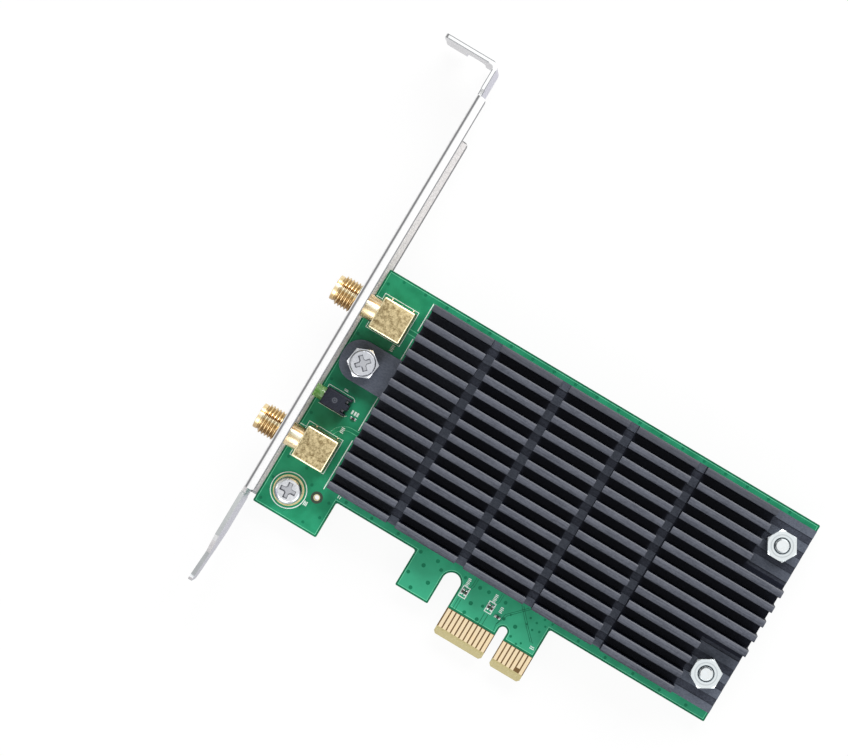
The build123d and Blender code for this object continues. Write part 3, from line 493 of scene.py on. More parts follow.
def bracket_tip(finish, colour, mottle):
    """Tapered tip, grey on its cut edge, and painted shade darker towards its end."""
    root, end, fades_from = 6.0, -15.0, 9.0
    up_card = finish.axis("Y")
    on_cut_edge = finish.over(finish.faces("Z"), SQUARE_ON)
    on_tip = finish.times(finish.under(up_card, root * MM), on_cut_edge)
    steel = finish.blend(mottle, (176, 180, 180), (206, 209, 208))
    colour = finish.blend(on_tip, colour, steel)
    # Painted shade, growing towards the tip's end.
    painted_tip_shade = finish.span(up_card, end * MM, fades_from * MM, 0.46, 0.0)
    return finish.blend(painted_tip_shade, colour, (104, 106, 114))


def bracket_bends(finish, colour):
    """Painted dark reflection, grey along the rounded bends, where the surface turns from facing X
    to facing Z.
    """
    x_part = finish.calc("ABSOLUTE", finish.faces("X"))
    z_part = finish.calc("ABSOLUTE", finish.faces("Z"))
    turning = finish.times(finish.span(x_part, 0.28, 0.5), finish.span(x_part, 0.7, 0.9, 1.0, 0.0))
    # Painted reflection along the bends.
    bend = finish.times(turning, finish.over(z_part, 0.05))
    return finish.blend(bend, colour, (126, 126, 128))


def bracket_cut_edges(finish, colour, near):
    """Painted shade as a dark line along the cut edges of both flanges, but not of the threaded
    tabs.
    """
    near_edge, far_edge, tabs_from = -57.36, -56.9, -56.64
    far_end_from, far_end_to = 88.65, 88.95
    along, up_card = finish.axis("X"), finish.axis("Y")
    near_cut = finish.times(near, finish.over(along, near_edge * MM))
    over_edge = finish.either(
        finish.over(along, far_edge * MM), finish.over(up_card, far_end_from * MM)
    )
    far = finish.under(finish.axis("Z"), 0.0)
    far_flange = finish.times(finish.under(up_card, far_end_to * MM), far)
    # Painted shade along the flanges' cut edges.
    cut = finish.either(near_cut, finish.times(far_flange, over_edge))
    cut = finish.times(cut, finish.under(along, tabs_from * MM))
    return finish.blend(finish.times(cut, 0.85), colour, (112, 112, 116))


def bracket_finish():
    """Zinc plated sheet with painted light and shade: whiter on the near flange, grey along its
    bends and cut edges.
    """
    near_flange_low = 15.5
    finish = Finish("zinc_plate", metallic=0.6, roughness=0.36)
    mottle = steel_mottle(finish, 0.34)
    near = finish.over(finish.axis("Z"), near_flange_low * MM)
    colour = bracket_sides(finish, mottle, near)
    colour = bracket_tab(finish, colour, mottle)
    colour = bracket_tip(finish, colour, mottle)
    colour = bracket_bends(finish, colour)
    finish.set("Base Color", bracket_cut_edges(finish, colour, near))
    finish.set("Roughness", finish.span(mottle, 0.0, 1.0, 0.44, 0.28))
    finish.bump(mottle, 0.008, 0.3)
    return finish


def heatsink_floor(finish, tone, upward):
    """Painted shade on the floor between the fins, paler where a groove or a pocket opens it to
    the light.
    """
    x, y = finish.axis("X"), finish.axis("Y")
    # Painted shade: the dark between the fins, on their floors and sides.
    dark = finish.blend(tone, (12, 15, 26), (27, 31, 45))
    groove_step = finish.calc("MODULO", finish.minus(x, GROOVES_FROM * MM), GROOVE_PITCH * MM)
    in_groove = finish.times(
        finish.under(groove_step, GROOVE_WIDTH * MM), finish.under(x, GROOVES_TO * MM)
    )
    beside_middle = finish.either(
        finish.under(y, POCKETS_BETWEEN[0] * MM), finish.over(y, POCKETS_BETWEEN[1] * MM)
    )
    in_pocket = finish.times(beside_middle, finish.over(x, POCKETS_FROM * MM))
    opened = finish.times(finish.either(in_groove, in_pocket), upward)
    return finish.blend(opened, dark, finish.blend(tone, (38, 41, 51), (64, 68, 79)))


def fin_tops(finish, tone):
    """Faced tops with drawn streaks, with a painted highlight along one edge and painted shade
    towards the other.
    """
    y = finish.axis("Y")
    drawn = finish.noise(0.3, 3.0, vector=finish.stretched(0.05, 1.0, 1.0))
    drawn = finish.times(finish.span(drawn, 0.36, 0.64), 0.45)
    streaks = finish.calc("MULTIPLY_ADD", tone, 0.55, drawn)
    # Lit and shaded tones of the same faced top, painted light and shade across it.
    painted_lit_top = finish.blend(streaks, (60, 63, 72), (100, 103, 113))
    painted_shaded_top = finish.blend(streaks, (44, 47, 55), (79, 82, 91))
    step = finish.calc("MODULO", finish.minus(FINS_FROM * MM, y), FIN_PITCH * MM)
    fall = finish.span(step, 0.5 * MM, FIN_TOP_WIDTH * MM)
    # Painted highlight along each top's edge towards the card's top edge.
    edge = finish.span(step, 0.12 * MM, 0.34 * MM, 1.0, 0.0)
    faced = finish.blend(edge, finish.blend(fall, painted_lit_top, painted_shaded_top), (108, 110, 116))
    first = finish.times(finish.over(y, FIRST_FIN_LOW * MM), 0.5)
    return finish.blend(first, faced, (62, 64, 70))


def anodised_finish():
    """Matt black anodising: painted shade dark between the fins, paler on the milled floors and
    faced tops.
    """
    finish = Finish("black_anodising", roughness=0.46, Specular_IOR_Level=0.14)
    grain = finish.noise(0.22, 4.0, vector=finish.stretched(0.5, 1.0, 1.0))
    cloud = finish.span(finish.noise(6.0, 2.0), 0.3, 0.7, 0.0, 0.3)
    tone = finish.calc("MULTIPLY_ADD", finish.span(grain, 0.36, 0.64), 0.7, cloud)
    height = finish.axis("Z")
    upward = finish.over(finish.faces("Z"), SQUARE_ON)
    on_mill = finish.times(upward, finish.over(height, GAP_FLOOR * MM))
    milled = finish.blend(tone, (72, 77, 88), (92, 97, 108))
    skin = finish.blend(on_mill, heatsink_floor(finish, tone, upward), milled)
    top = finish.over(height, FIN_TOPS * MM)
    finish.set("Base Color", finish.blend(top, skin, fin_tops(finish, tone)))
    finish.bump(grain, 0.008, 0.35)
    return finish


def plastic_finish(name, colour, lighter, roughness=0.55, grain=0.18, depth=0.01, **sockets):
    """Moulded plastic with a fine grain."""
    finish = Finish(name, roughness=roughness, **sockets)
    fleck = finish.noise(grain, 3.0)
    finish.set("Base Color", finish.blend(finish.span(fleck, 0.35, 0.65), colour, lighter))
    finish.bump(fleck, depth, 0.4)
    return finish


def lens_finish():
    """Tinted green diode body, clear enough to glow at its edges."""
    finish = Finish("diode_lens", roughness=0.12, IOR=1.5, Transmission_Weight=0.45)
    depth = finish.span(finish.noise(0.9, 1.0), 0.3, 0.7)
    finish.set("Base Color", finish.blend(depth, (112, 172, 84), (168, 212, 142)))
    finish.bump(finish.noise(0.5), 0.004, 0.2)
    return finish


finishes = {
    "gold_block": block_gold_finish(),
    "gold_turned": turned_gold_finish(),
    "board": board_finish(),
    "pour": pour_finish(),
    # Painted highlight: the pale green of the copper's rim under the mask.
    "painted_pour_highlight": mask_finish("pour_rim_painted_highlight", (120, 214, 172), (96, 196, 152), 0.3),
    "via": mask_finish("tented_via", (8, 126, 88), (4, 110, 76), 0.3),
    "trace": mask_finish("trace_line", (20, 116, 82), (14, 100, 70), 0.3),
    "silk": plastic_finish("printed_white", (226, 244, 234), (240, 252, 246), 0.6, 0.1, 0.004),
    "contacts": contact_finish(),
    "bracket": bracket_finish(),
    "heatsink": anodised_finish(),
    "white": plastic_finish("socket_insulation", (222, 222, 216), (240, 240, 236)),
    "lens": lens_finish(),
    "holder": plastic_finish(
        "holder_black", (22, 24, 33), (42, 45, 57), 0.5, Specular_IOR_Level=0.2
    ),
    "dimple": plastic_finish("mould_dimple", (56, 60, 70), (76, 80, 90), 0.6),
    # Painted shade: the diode leads darkened for the shade in the holder's slots.
    "wire": steel_finish("tinned_wire", (120, 120, 124), (90, 90, 94), 0.25, 0.2),
    "screw": screw_finish(),
    "nut": nut_finish(),
    "stud": steel_finish("nickel_stud", (252, 255, 255), (230, 238, 242), 0.3, 0.5),
    "chip_end": steel_finish("tinned_end", (206, 208, 206), (150, 152, 154), 0.3, 0.4),
    "spacer": plastic_finish("spacer_nylon", (34, 34, 36), (52, 52, 54), 0.5),
    "chip": plastic_finish("chip_black", (34, 34, 37), (50, 50, 54), 0.55, 0.12),
    "crystal": steel_finish("crystal_can", (226, 222, 208), (186, 182, 170), 0.3, 0.3),
    "powder": plastic_finish("pressed_powder", (66, 66, 70), (104, 104, 108), 0.65, 0.1),
    "ceramic": plastic_finish("ceramic_brown", (40, 34, 32), (66, 56, 50), 0.45, 0.1),
    "glaze": plastic_finish("resistor_glaze", (26, 26, 30), (44, 44, 48), 0.3, 0.1),
    "solder": steel_finish("solder", (236, 236, 234), (190, 190, 192), 0.22, 0.6),
    "socket_solder": steel_finish("socket_solder", (236, 226, 196), (206, 194, 160), 0.3, 0.5),
    "pad": plastic_finish("pad_grey", (150, 160, 172), (176, 184, 192), 0.8, 0.3, 0.03),
    "pad_gold": gold_finish("pad_gold", (246, 232, 184), (206, 188, 136), 0.3, 0.6),
    "hole_surround": plastic_finish("hole_surround", (34, 52, 40), (52, 70, 54), 0.5, 0.2),
}


# Mesh tools


def solid_block(bm, low, high, rounding=0.0, segments=2):
    """A box between two corners, with rounded edges."""
    made = bmesh.ops.create_cube(bm, size=1.0)["verts"]
    size = [b - a for a, b in zip(low, high)]
    middle = [(a + b) / 2 for a, b in zip(low, high)]
    bmesh.ops.scale(bm, vec=size, verts=made)
    bmesh.ops.translate(bm, vec=middle, verts=made)
    if rounding:
        edges = list({edge for vert in made for edge in vert.link_edges})
        form = {"profile": 0.5, "affect": "EDGES", "material": -1}
        bmesh.ops.bevel(bm, geom=edges, offset=rounding, segments=segments, **form)


def disc(bm, centre, radius, low, high, sides=24, top_radius=None):
    """A short upright cylinder or cone."""
    radii = {"radius1": radius, "radius2": radius if top_radius is None else top_radius}
    place = Matrix.Translation((centre[0], centre[1], (low + high) / 2))
    bmesh.ops.create_cone(
        bm, cap_ends=True, segments=sides, depth=high - low, matrix=place, **radii
    )


def turned(bm, profile, centre, axis, steps, closed=True):
    """A profile of points spun once round an axis."""
    verts = [bm.verts.new(point) for point in profile]
    pairs = list(zip(verts, verts[1:]))
    if closed:
        pairs.append((verts[-1], verts[0]))
    edges = [bm.edges.new(pair) for pair in pairs]
    once_round = {"angle": 2 * math.pi, "steps": steps, "use_merge": True}
    bmesh.ops.spin(bm, geom=verts + edges, cent=centre, axis=axis, **once_round)


def ring(bm, centre, inner, outer, low, high, sides=48):
    """A flat ring with a square section."""
    x, y = centre
    section = ((inner, low), (outer, low), (outer, high), (inner, high))
    profile = [(x + radius, y, z) for radius, z in section]
    turned(bm, profile, (x, y, 0.0), (0.0, 0.0, 1.0), sides)


def run(bm, points, width, low, high):
    """Straight strips of one width from point to point."""
    for (x0, y0), (x1, y1) in zip(points, points[1:]):
        length = math.hypot(x1 - x0, y1 - y0) + width
        made = bmesh.ops.create_cube(bm, size=1.0)["verts"]
        bmesh.ops.scale(bm, vec=(length, width, high - low), verts=made)
        turn = Matrix.Rotation(math.atan2(y1 - y0, x1 - x0), 3, "Z")
        bmesh.ops.rotate(bm, cent=(0, 0, 0), matrix=turn, verts=made)
        middle = ((x0 + x1) / 2, (y0 + y1) / 2, (low + high) / 2)
        bmesh.ops.translate(bm, vec=middle, verts=made)


def frame_ring(bm, low, high, width, low_z, high_z):
    """A rectangular outline of one width, mitred at its corners."""
    x0, y0 = low
    x1, y1 = high
    corners = [bm.verts.new((x, y, low_z)) for x, y in ((x0, y0), (x1, y0), (x1, y1), (x0, y1))]
    face = bm.faces.new(corners)
    bm.normal_update()
    mitred = {"use_even_offset": True, "use_boundary": True}
    bmesh.ops.inset_region(bm, faces=[face], thickness=width, **mitred)
    rim = list({f for v in corners for f in v.link_faces} - {face})
    bmesh.ops.delete(bm, geom=[face], context="FACES")
    raised = bmesh.ops.extrude_face_region(bm, geom=rim, use_keep_orig=True)["geom"]
    top = [v for v in raised if isinstance(v, bmesh.types.BMVert)]
    bmesh.ops.translate(bm, vec=(0, 0, high_z - low_z), verts=top)


def arc(x, y, radius, start, stop, count):
    """Points on an arc, with its angles in degrees."""
    steps = [math.radians(start + (stop - start) * i / (count - 1)) for i in range(count)]
    return [(x + radius * math.cos(a), y + radius * math.sin(a)) for a in steps]


def finish_piece(name, bm, finish, replaced=(), smooth=None, extra=()):
    """Turns a bmesh in millimetres into a piece that rides on the card."""
    bmesh.ops.remove_doubles(bm, verts=bm.verts, dist=1e-5)
    bmesh.ops.recalc_face_normals(bm, faces=bm.faces)
    bmesh.ops.scale(bm, vec=(MM, MM, MM), verts=bm.verts)
    mesh = bpy.data.meshes.new(name)
    bm.to_mesh(mesh)
    bm.free()
    piece = bpy.data.objects.new(name, mesh)
    bpy.context.scene.collection.objects.link(piece)
    for each in (finish, *extra):
        mesh.materials.append(finishes[each].material)
    if smooth is not None:
        mesh.shade_smooth()
        mesh.set_sharp_from_angle(angle=math.radians(smooth))
    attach(piece, "root")
    if replaced:
        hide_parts(*replaced)
    return piece


# Finishes of the solids that stay as they are
kept_solids = {
    "board": ("circuit_board",),
    "contacts": (
        "front_edge_contacts",
        "rear_edge_contacts",
        "upper_socket_centre_contact",
        "lower_socket_centre_contact",
    ),
    "bracket": ("mounting_bracket",),
    "heatsink": ("heatsink",),
    "white": ("upper_socket_insulator", "lower_socket_insulator"),
    "lens": ("indicator_diode",),
    "holder": ("diode_holder",),
    "wire": ("diode_leads",),
    "screw": ("ear_screw", "board_screw"),
    "spacer": ("ear_spacer", "upper_heatsink_spacer", "lower_heatsink_spacer"),
    "stud": ("upper_heatsink_screw", "lower_heatsink_screw"),
    "nut": ("upper_heatsink_nut", "lower_heatsink_nut"),
    "chip": (
        "radio_chip",
        "upper_amplifier_chip",
        "lower_amplifier_chip",
        "memory_chip",
        "regulator_chip",
    ),
    "pad": ("thermal_pad",),
    "crystal": ("clock_crystal",),
    "powder": ("power_inductor",),
    "solder": ("solder_joints",),
}
for finish_name, solids in kept_solids.items():
    for node in solids:
        materials = shown[node].data.materials
        materials.clear()
        materials.append(finishes[finish_name].material)


# Copper under the mask, on both sides of the board

EDGE_STRIP = 0.38
SKIN = 0.014
PLATED_HOLE = (-46.35, 11.4)
# Round ends of the slot beside the tongue and of the key notch: x, y and radius
SLOT = (-14.1, 10.65, 1.95)
KEY = (0.0, 7.4, 0.95)


def pour_outline():
    """The board's outline without its contact zone."""
    tongue_low = 5.95
    return [
        (BOARD_LEFT, BOARD_TOP),
        (BOARD_LEFT, 4.3),
        (-42.4, 4.3),
        (-42.4, BODY_LOW),
        (-23.69, BODY_LOW),
        (-23.69, 4.4),
        (-16.05, 4.4),
        *arc(*SLOT, 180, 0, 13),
        (-12.15, tongue_low),
        (-KEY[2], tongue_low),
        *arc(*KEY, 180, 0, 9),
        (KEY[2], tongue_low),
        (8.05, tongue_low),
        (8.05, BODY_LOW),
        (BOARD_RIGHT, BODY_LOW),
        (BOARD_RIGHT, BOARD_TOP),
    ]


def copper_pour(name, base, side):
    """A thin raised sheet of mask over copper, set back from the edge, with a pale rim painted as
    a highlight.
    """
    rim_width, hole_clear = 0.12, 0.95
    bm = bmesh.new()
    outline = bm.faces.new([bm.verts.new((x, y, 0.0)) for x, y in pour_outline()])
    bm.normal_update()
    inset = {"faces": [outline], "use_even_offset": True, "use_boundary": True}
    bmesh.ops.inset_region(bm, thickness=EDGE_STRIP, **inset)
    bmesh.ops.delete(bm, geom=[f for f in bm.faces if f is not outline], context="FACES")
    bmesh.ops.inset_region(bm, thickness=rim_width, **inset)
    rim = [f for f in bm.faces if f is not outline]
    edges = list(outline.edges)
    bmesh.ops.delete(bm, geom=[outline], context="FACES_ONLY")
    place = Matrix.Translation((*PLATED_HOLE, 0.0))
    hole = bmesh.ops.create_circle(bm, segments=24, radius=hole_clear, matrix=place)["verts"]
    edges += list({e for v in hole for e in v.link_edges})
    fill = {"use_beauty": True, "use_dissolve": False, "normal": (0, 0, 1)}
    bmesh.ops.triangle_fill(bm, edges=edges, **fill)
    # The rim faces carry the painted highlight.
    for face in rim:
        face.material_index = 1
    top = bmesh.ops.extrude_face_region(bm, geom=list(bm.faces), use_keep_orig=True)["geom"]
    moved = [v for v in top if isinstance(v, bmesh.types.BMVert)]
    bmesh.ops.translate(bm, vec=(0, 0, SKIN), verts=moved)
    if side < 0:
        bmesh.ops.scale(bm, vec=(1, 1, -1), verts=bm.verts)
    bmesh.ops.translate(bm, vec=(0, 0, base), verts=bm.verts)
    return finish_piece(name, bm, "pour", extra=("painted_pour_highlight",))


copper_pour("front_copper_pour", BOARD_FACE, 1)
copper_pour("rear_copper_pour", BOARD_BACK, -1)

FACE = BOARD_FACE + SKIN
BACK = BOARD_BACK - SKIN


# Vias, traces, pads and printed marks on the component side


def via_field(name, places, height, side):
    """Tented vias: low round lands with a shallow dimple in the middle."""
    sides, land, rise, dimple = 16, 1.3, 0.01, 0.006
    bm = bmesh.new()
    for x, y, radius in places:
        low, high = (height, height + rise) if side > 0 else (height - rise, height)
        disc(bm, (x, y), radius * land, low, high, sides)
    bm.normal_update()
    for face in list(bm.faces):
        if face.normal.z * side > SQUARE_ON:
            bmesh.ops.inset_region(bm, faces=[face], thickness=face.calc_perimeter() / sides)
            bmesh.ops.translate(bm, vec=(0, 0, -dimple * side), verts=face.verts)
    return finish_piece(name, bm, "via")


top_row = [(*on_board(3.76 + 5.07 * i, 0.84), 0.27) for i in range(19)]
left_corner = [
    (*on_board(across, down), 0.26)
    for across, down in (
        (1.16, 2.8), (1.1, 14.6), (1.1, 25.2), (1.1, 33.2), (1.7, 43.2),
        (6.1, 43.4), (8.73, 45.8), (8.7, 50.8), (13.5, 50.7), (1.08, 48.4),
        (1.1, 53.3), (11.0, 53.2), (13.6, 47.2),
    )
]
low_strip = [
    (-22.56, 12.78, 0.3), (-18.6, 12.9, 0.32), (-17.1, 11.7, 0.3), (-20.67, 10.7, 0.34),
    (-22.7, 8.0, 0.3), (-18.1, 8.1, 0.34), (-20.67, 5.5, 0.32), (-12.05, 12.9, 0.26),
    (-8.45, 12.65, 0.32), (-6.46, 12.8, 0.3), (-2.46, 12.7, 0.3), (-8.5, 9.0, 0.34),
    (-6.1, 9.7, 0.26), (-8.7, 6.75, 0.3), (-5.8, 6.8, 0.32), (-1.1, 9.7, 0.28),
    (1.7, 9.5, 0.34), (-0.3, 11.1, 0.18), (1.9, 7.35, 0.22), (3.6, 6.6, 0.18),
    (4.4, 7.2, 0.18), (6.45, 11.1, 0.2), (5.0, 10.7, 0.2), (3.5, 11.2, 0.18),
    (3.5, 12.65, 0.2), (5.1, 12.4, 0.2), (6.97, 12.65, 0.18), (8.0, 13.8, 0.2),
    (6.2, 13.8, 0.2), (14.2, 13.6, 0.26), (20.6, 13.5, 0.26), (27.1, 13.6, 0.26),
    (33.4, 13.5, 0.26), (39.6, 13.6, 0.26), (-28.4, 13.6, 0.26), (-34.6, 13.5, 0.26),
    (-40.7, 13.6, 0.26),
]
via_field("front_vias", top_row + left_corner + low_strip, FACE, 1)

# Pairs of fine traces from the contacts up to the heatsink
bm = bmesh.new()
TRACE_TOP = FACE + 0.006
for x in (-11.16, -10.61, -5.05, -4.3):
    run(bm, [(x, 8.6), (x, 6.05)], 0.13, FACE, TRACE_TOP)
for shift in (0.0, 0.42):
    for x, bend, end in ((-10.0, 12.4, -10.3), (-3.95, 12.2, -4.3)):
        route = [(x + shift, 13.9), (x + shift, bend), (end + shift, 11.4)]
        run(bm, route, 0.11, FACE, TRACE_TOP)
for shift in (0.0, 0.5):
    left_route = [(2.2 + shift, 14.2), (-1.3 + shift, 10.6), (-1.9, 8.0), (-1.7, 6.4)]
    right_route = [(0.6 + shift, 14.0), (3.6 + shift, 10.7), (5.9 + shift, 8.4)]
    run(bm, left_route, 0.12, FACE, TRACE_TOP)
    run(bm, right_route, 0.12, FACE, TRACE_TOP)
finish_piece("front_traces", bm, "trace")

# Radio feeds beside the sockets: the pale rims of the copper on both sides of each, painted as
# highlights
bm = bmesh.new()
for down in (8.42, 9.4):
    run(bm, [on_board(9.75, down), on_board(12.6, down)], 0.18, FACE, TRACE_TOP)
for radius in (3.05, 3.85):
    sweep = arc(*on_board(10.1, 35.65), radius, 90, 162, 10)
    run(bm, [(BOARD_LEFT + 12.4, sweep[0][1]), *sweep], 0.17, FACE, TRACE_TOP)
finish_piece("radio_feed_painted_highlights", bm, "painted_pour_highlight")

# Printed white outlines and small marks without any lettering
bm = bmesh.new()
INK = FACE + 0.012
for down in (4.6, 34.75):
    x0, y1 = on_board(1.6, down)
    x1, y0 = on_board(9.62, down + 8.02)
    frame_ring(bm, (x0, y0), (x1, y1), 0.14, FACE, INK)
    run(bm, [(BOARD_LEFT + 0.35, y1 - 1.4), (x0 - 0.08, y1 - 1.4)], 0.14, FACE, INK)
LINE_X = BOARD_LEFT + 11.2
for start, stop in ((1.6, 7.9), (9.9, 15.6), (15.8, 31.4), (33.9, 45.2)):
    run(bm, [(LINE_X, BOARD_TOP - start), (LINE_X, BOARD_TOP - stop)], 0.2, FACE, INK)
above_holder = ((1.3, 27.0), (1.3, 26.35), (7.1, 26.35), (7.6, 26.9))
below_holder = ((1.3, 30.7), (7.1, 30.7), (7.6, 30.2))
run(bm, [on_board(*place) for place in above_holder], 0.13, FACE, INK)
run(bm, [on_board(*place) for place in below_holder], 0.1, FACE, INK)
ring(bm, LOW_SCREW, 3.6, 3.8, FACE, INK, 72)
for across in (8.25, 8.9, 9.45):
    low_corner, high_corner = on_board(across - 0.2, 29.3), on_board(across + 0.2, 28.45)
    solid_block(bm, (*low_corner, FACE), (*high_corner, INK))
for x0, x1 in ((-11.6, -9.95), (-5.48, -3.83)):
    frame_ring(bm, (x0, 9.0), (x1, 11.5), 0.2, FACE, INK)


def small_mark(x, y, width, height, bars, upright=True):
    """A reference mark of a few short strokes that spell nothing."""
    for i in range(bars):
        share = (i + 0.5) / bars - 0.5
        short = 0.1 * (i % 2)
        if upright:
            level = y + share * height
            stroke = [(x - width / 2, level), (x + width / 2 - short, level)]
        else:
            across = x + share * width
            stroke = [(across, y - height / 2), (across, y + height / 2 - short)]
        run(bm, stroke, 0.19, FACE, INK)


for mark in (
    (*on_board(4.95, 25.7), 0.75, 0.55, 2),
    (*on_board(8.4, 33.1), 0.6, 1.3, 4),
    (*on_board(8.55, 13.6), 0.55, 1.5, 5),
    (*on_board(9.5, 49.7), 0.85, 0.75, 3, False),
    (*on_board(14.8, 45.1), 0.9, 0.5, 2, False),
    (-11.05, 12.35, 0.55, 1.9, 6),
    (-4.65, 12.35, 0.55, 1.9, 6),
    (-2.4, 10.95, 0.55, 1.35, 4),
    (6.85, 7.55, 0.8, 0.75, 2),
):
    small_mark(*mark)
finish_piece("printed_marks", bm, "silk")

# Bare gold rings round the lower screw and the plated hole
bm = bmesh.new()
ring(bm, LOW_SCREW, 1.75, 3.2, FACE, FACE + 0.01, 72)
ring(bm, PLATED_HOLE, 0.5, 0.68, FACE - 0.02, FACE + 0.012, 32)
finish_piece("screw_pad_rings", bm, "pad_gold")
bm = bmesh.new()
ring(bm, PLATED_HOLE, 0.69, 1.25, FACE, FACE + 0.006, 32)
finish_piece("plated_hole_surround", bm, "hole_surround")


# Small ceramic parts with tinned ends


def loose_parts(bm):
    """The vertices of each separate part of a mesh, in the mesh's order."""
    seen = set()
    for start in bm.verts:
        if start in seen:
            continue
        part, queue = [], [start]
        seen.add(start)
        while queue:
            vert = queue.pop()
            part.append(vert)
            for edge in vert.link_edges:
                other = edge.other_vert(vert)
                if other not in seen:
                    seen.add(other)
                    queue.append(other)
        yield part


def chip_parts(node, ceramic):
    """Each small part's body between two rounded tinned ends, on its solder fillets."""
    end_share, overlap, inset, lift = 0.22, 0.9, 0.015, 0.01
    fillet_reach, fillet_height = 0.18, 0.12
    body, ends, source = bmesh.new(), bmesh.new(), bmesh.new()
    source.from_mesh(shown[node].data)
    bmesh.ops.remove_doubles(source, verts=source.verts, dist=1e-7)
    for part in loose_parts(source):
        low = [min(v.co[i] for v in part) / MM for i in range(3)]
        high = [max(v.co[i] for v in part) / MM for i in range(3)]
        along = 0 if high[0] - low[0] > high[1] - low[1] else 1
        end = end_share * (high[along] - low[along])
        middle_low, middle_high = list(low), list(high)
        middle_low[along] += end * overlap
        middle_high[along] -= end * overlap
        middle_low[1 - along] += inset
        middle_high[1 - along] -= inset
        middle_low[2] += lift
        middle_high[2] -= inset
        solid_block(body, middle_low, middle_high, 0.03, 1)
        for tip, outward in ((low[along], -1), (high[along], 1)):
            end_low, end_high = list(low), list(high)
            end_low[along], end_high[along] = sorted((tip, tip - outward * end))
            solid_block(ends, end_low, end_high, 0.05, 2)
            end_low[along], end_high[along] = sorted((tip, tip + outward * fillet_reach))
            end_high[2] = low[2] + fillet_height
            solid_block(ends, end_low, end_high, 0.05, 2)
    source.free()
    finish_piece(node + "_ends", ends, "chip_end")
    finish_piece(node + "_bodies", body, ceramic, replaced=(node,))


for node in ("left_coupling_capacitors", "right_coupling_capacitors", "supply_capacitors"):
    chip_parts(node, "ceramic")
for node in ("tongue_resistor", "diode_resistor"):
    chip_parts(node, "glaze")


# Antenna sockets: cast block on feet, turned neck and a threaded barrel

# Radii are from the barrel's axis, starts and ends along it, FROM, TO and TOP are heights
CREST = 3.175
THREAD_DEPTH = 0.42
THREAD_PITCH = 0.7056
COLLAR_END = BARREL_END + 0.9
THREAD_START = COLLAR_END + 0.35
THREAD_END = PLATE_OUTER - 0.2
AROUND = 96
NECK_START = -54.5
NECK_RADIUS = 2.5
CORE_RADIUS = 2.75
COLLAR_RADIUS = 2.7
GROOVE_RADIUS = 2.58
MOUTH_RADIUS = 2.35
MOUTH_DEPTH = 2.6
BLOCK_HALF = 3.5
BLOCK_FROM = 1.185
BLOCK_TO = 11.105
FOOT_AT = 2.72
FOOT_HALF = 0.75
FOOT_TOP = 1.5
LEG_AT = 2.55
LEG_RADIUS = 0.6
LEG_END = -1.885


def barrel_profile(y):
    """Half section of the neck and barrel, from inside the block to the bore's floor."""
    samples = 64
    thread = THREAD_START - THREAD_END
    points = [
        (NECK_START, 0.0),
        (NECK_START, NECK_RADIUS),
        (NECK_END, NECK_RADIUS),
        (NECK_END, CORE_RADIUS),
        (THREAD_END, CORE_RADIUS),
        *((THREAD_END + thread * i / samples, CREST) for i in range(samples + 1)),
        (THREAD_START, GROOVE_RADIUS),
        (COLLAR_END, GROOVE_RADIUS),
        (COLLAR_END, COLLAR_RADIUS - 0.05),
        (COLLAR_END - 0.05, COLLAR_RADIUS),
        (BARREL_END + 0.12, COLLAR_RADIUS),
        (BARREL_END, COLLAR_RADIUS - 0.12),
        (BARREL_END, MOUTH_RADIUS + 0.07),
        (BARREL_END + 0.07, MOUTH_RADIUS),
        (BARREL_END + MOUTH_DEPTH, MOUTH_RADIUS),
        (BARREL_END + MOUTH_DEPTH, 0.0),
    ]
    return [(x, y, SOCKET_Z + radius) for x, radius in points]


def cut_thread(bm, y):
    """Pulls the barrel's skin in along a helix, between the thread's start and end."""
    for vert in bm.verts:
        x, dy, dz = vert.co.x, vert.co.y - y, vert.co.z - SOCKET_Z
        radius = math.hypot(dy, dz)
        if not (THREAD_START - 1e-4 <= x <= THREAD_END + 1e-4) or abs(radius - CREST) > 1e-3:
            continue
        turns = math.atan2(dz, dy) / (2 * math.pi)
        phase = ((x - THREAD_START) / THREAD_PITCH + turns) % 1.0
        rise = abs(2 * phase - 1)
        form = min(1.0, max(0.0, (rise - 0.12) / 0.72))
        scale = (radius - THREAD_DEPTH * (1 - form)) / radius
        vert.co.y, vert.co.z = y + dy * scale, SOCKET_Z + dz * scale


for name, y in zip(("upper", "lower"), SOCKET_YS):
    bm = bmesh.new()
    turned(bm, barrel_profile(y), (0.0, y, SOCKET_Z), (1.0, 0.0, 0.0), AROUND, closed=False)
    bmesh.ops.remove_doubles(bm, verts=bm.verts, dist=1e-5)
    cut_thread(bm, y)
    finish_piece(name + "_socket_barrel", bm, "gold_turned", smooth=28)
    bm = bmesh.new()
    block_low = (SOCKET_X - BLOCK_HALF, y - BLOCK_HALF, BLOCK_FROM)
    block_high = (SOCKET_X + BLOCK_HALF, y + BLOCK_HALF, BLOCK_TO)
    solid_block(bm, block_low, block_high, 0.28, 3)
    for sx in (-1, 1):
        for sy in (-1, 1):
            foot_x, foot_y = SOCKET_X + sx * FOOT_AT, y + sy * FOOT_AT
            foot_low = (foot_x - FOOT_HALF, foot_y - FOOT_HALF, BOARD_FACE)
            foot_high = (foot_x + FOOT_HALF, foot_y + FOOT_HALF, FOOT_TOP)
            solid_block(bm, foot_low, foot_high, 0.1)
            leg = (SOCKET_X + sx * LEG_AT, y + sy * LEG_AT)
            disc(bm, leg, LEG_RADIUS, LEG_END, BOARD_FACE + 0.3, 24)
    body = name + "_antenna_socket"
    finish_piece(name + "_socket_block", bm, "gold_block", (body,), smooth=40)
    bm = bmesh.new()
    for sx in (-1, 1):
        disc(bm, (SOCKET_X + sx * 2.45, y + 3.62), 0.3, FACE, FACE + 0.22, 16, 0.14)
    finish_piece(name + "_socket_solder", bm, "socket_solder", smooth=60)


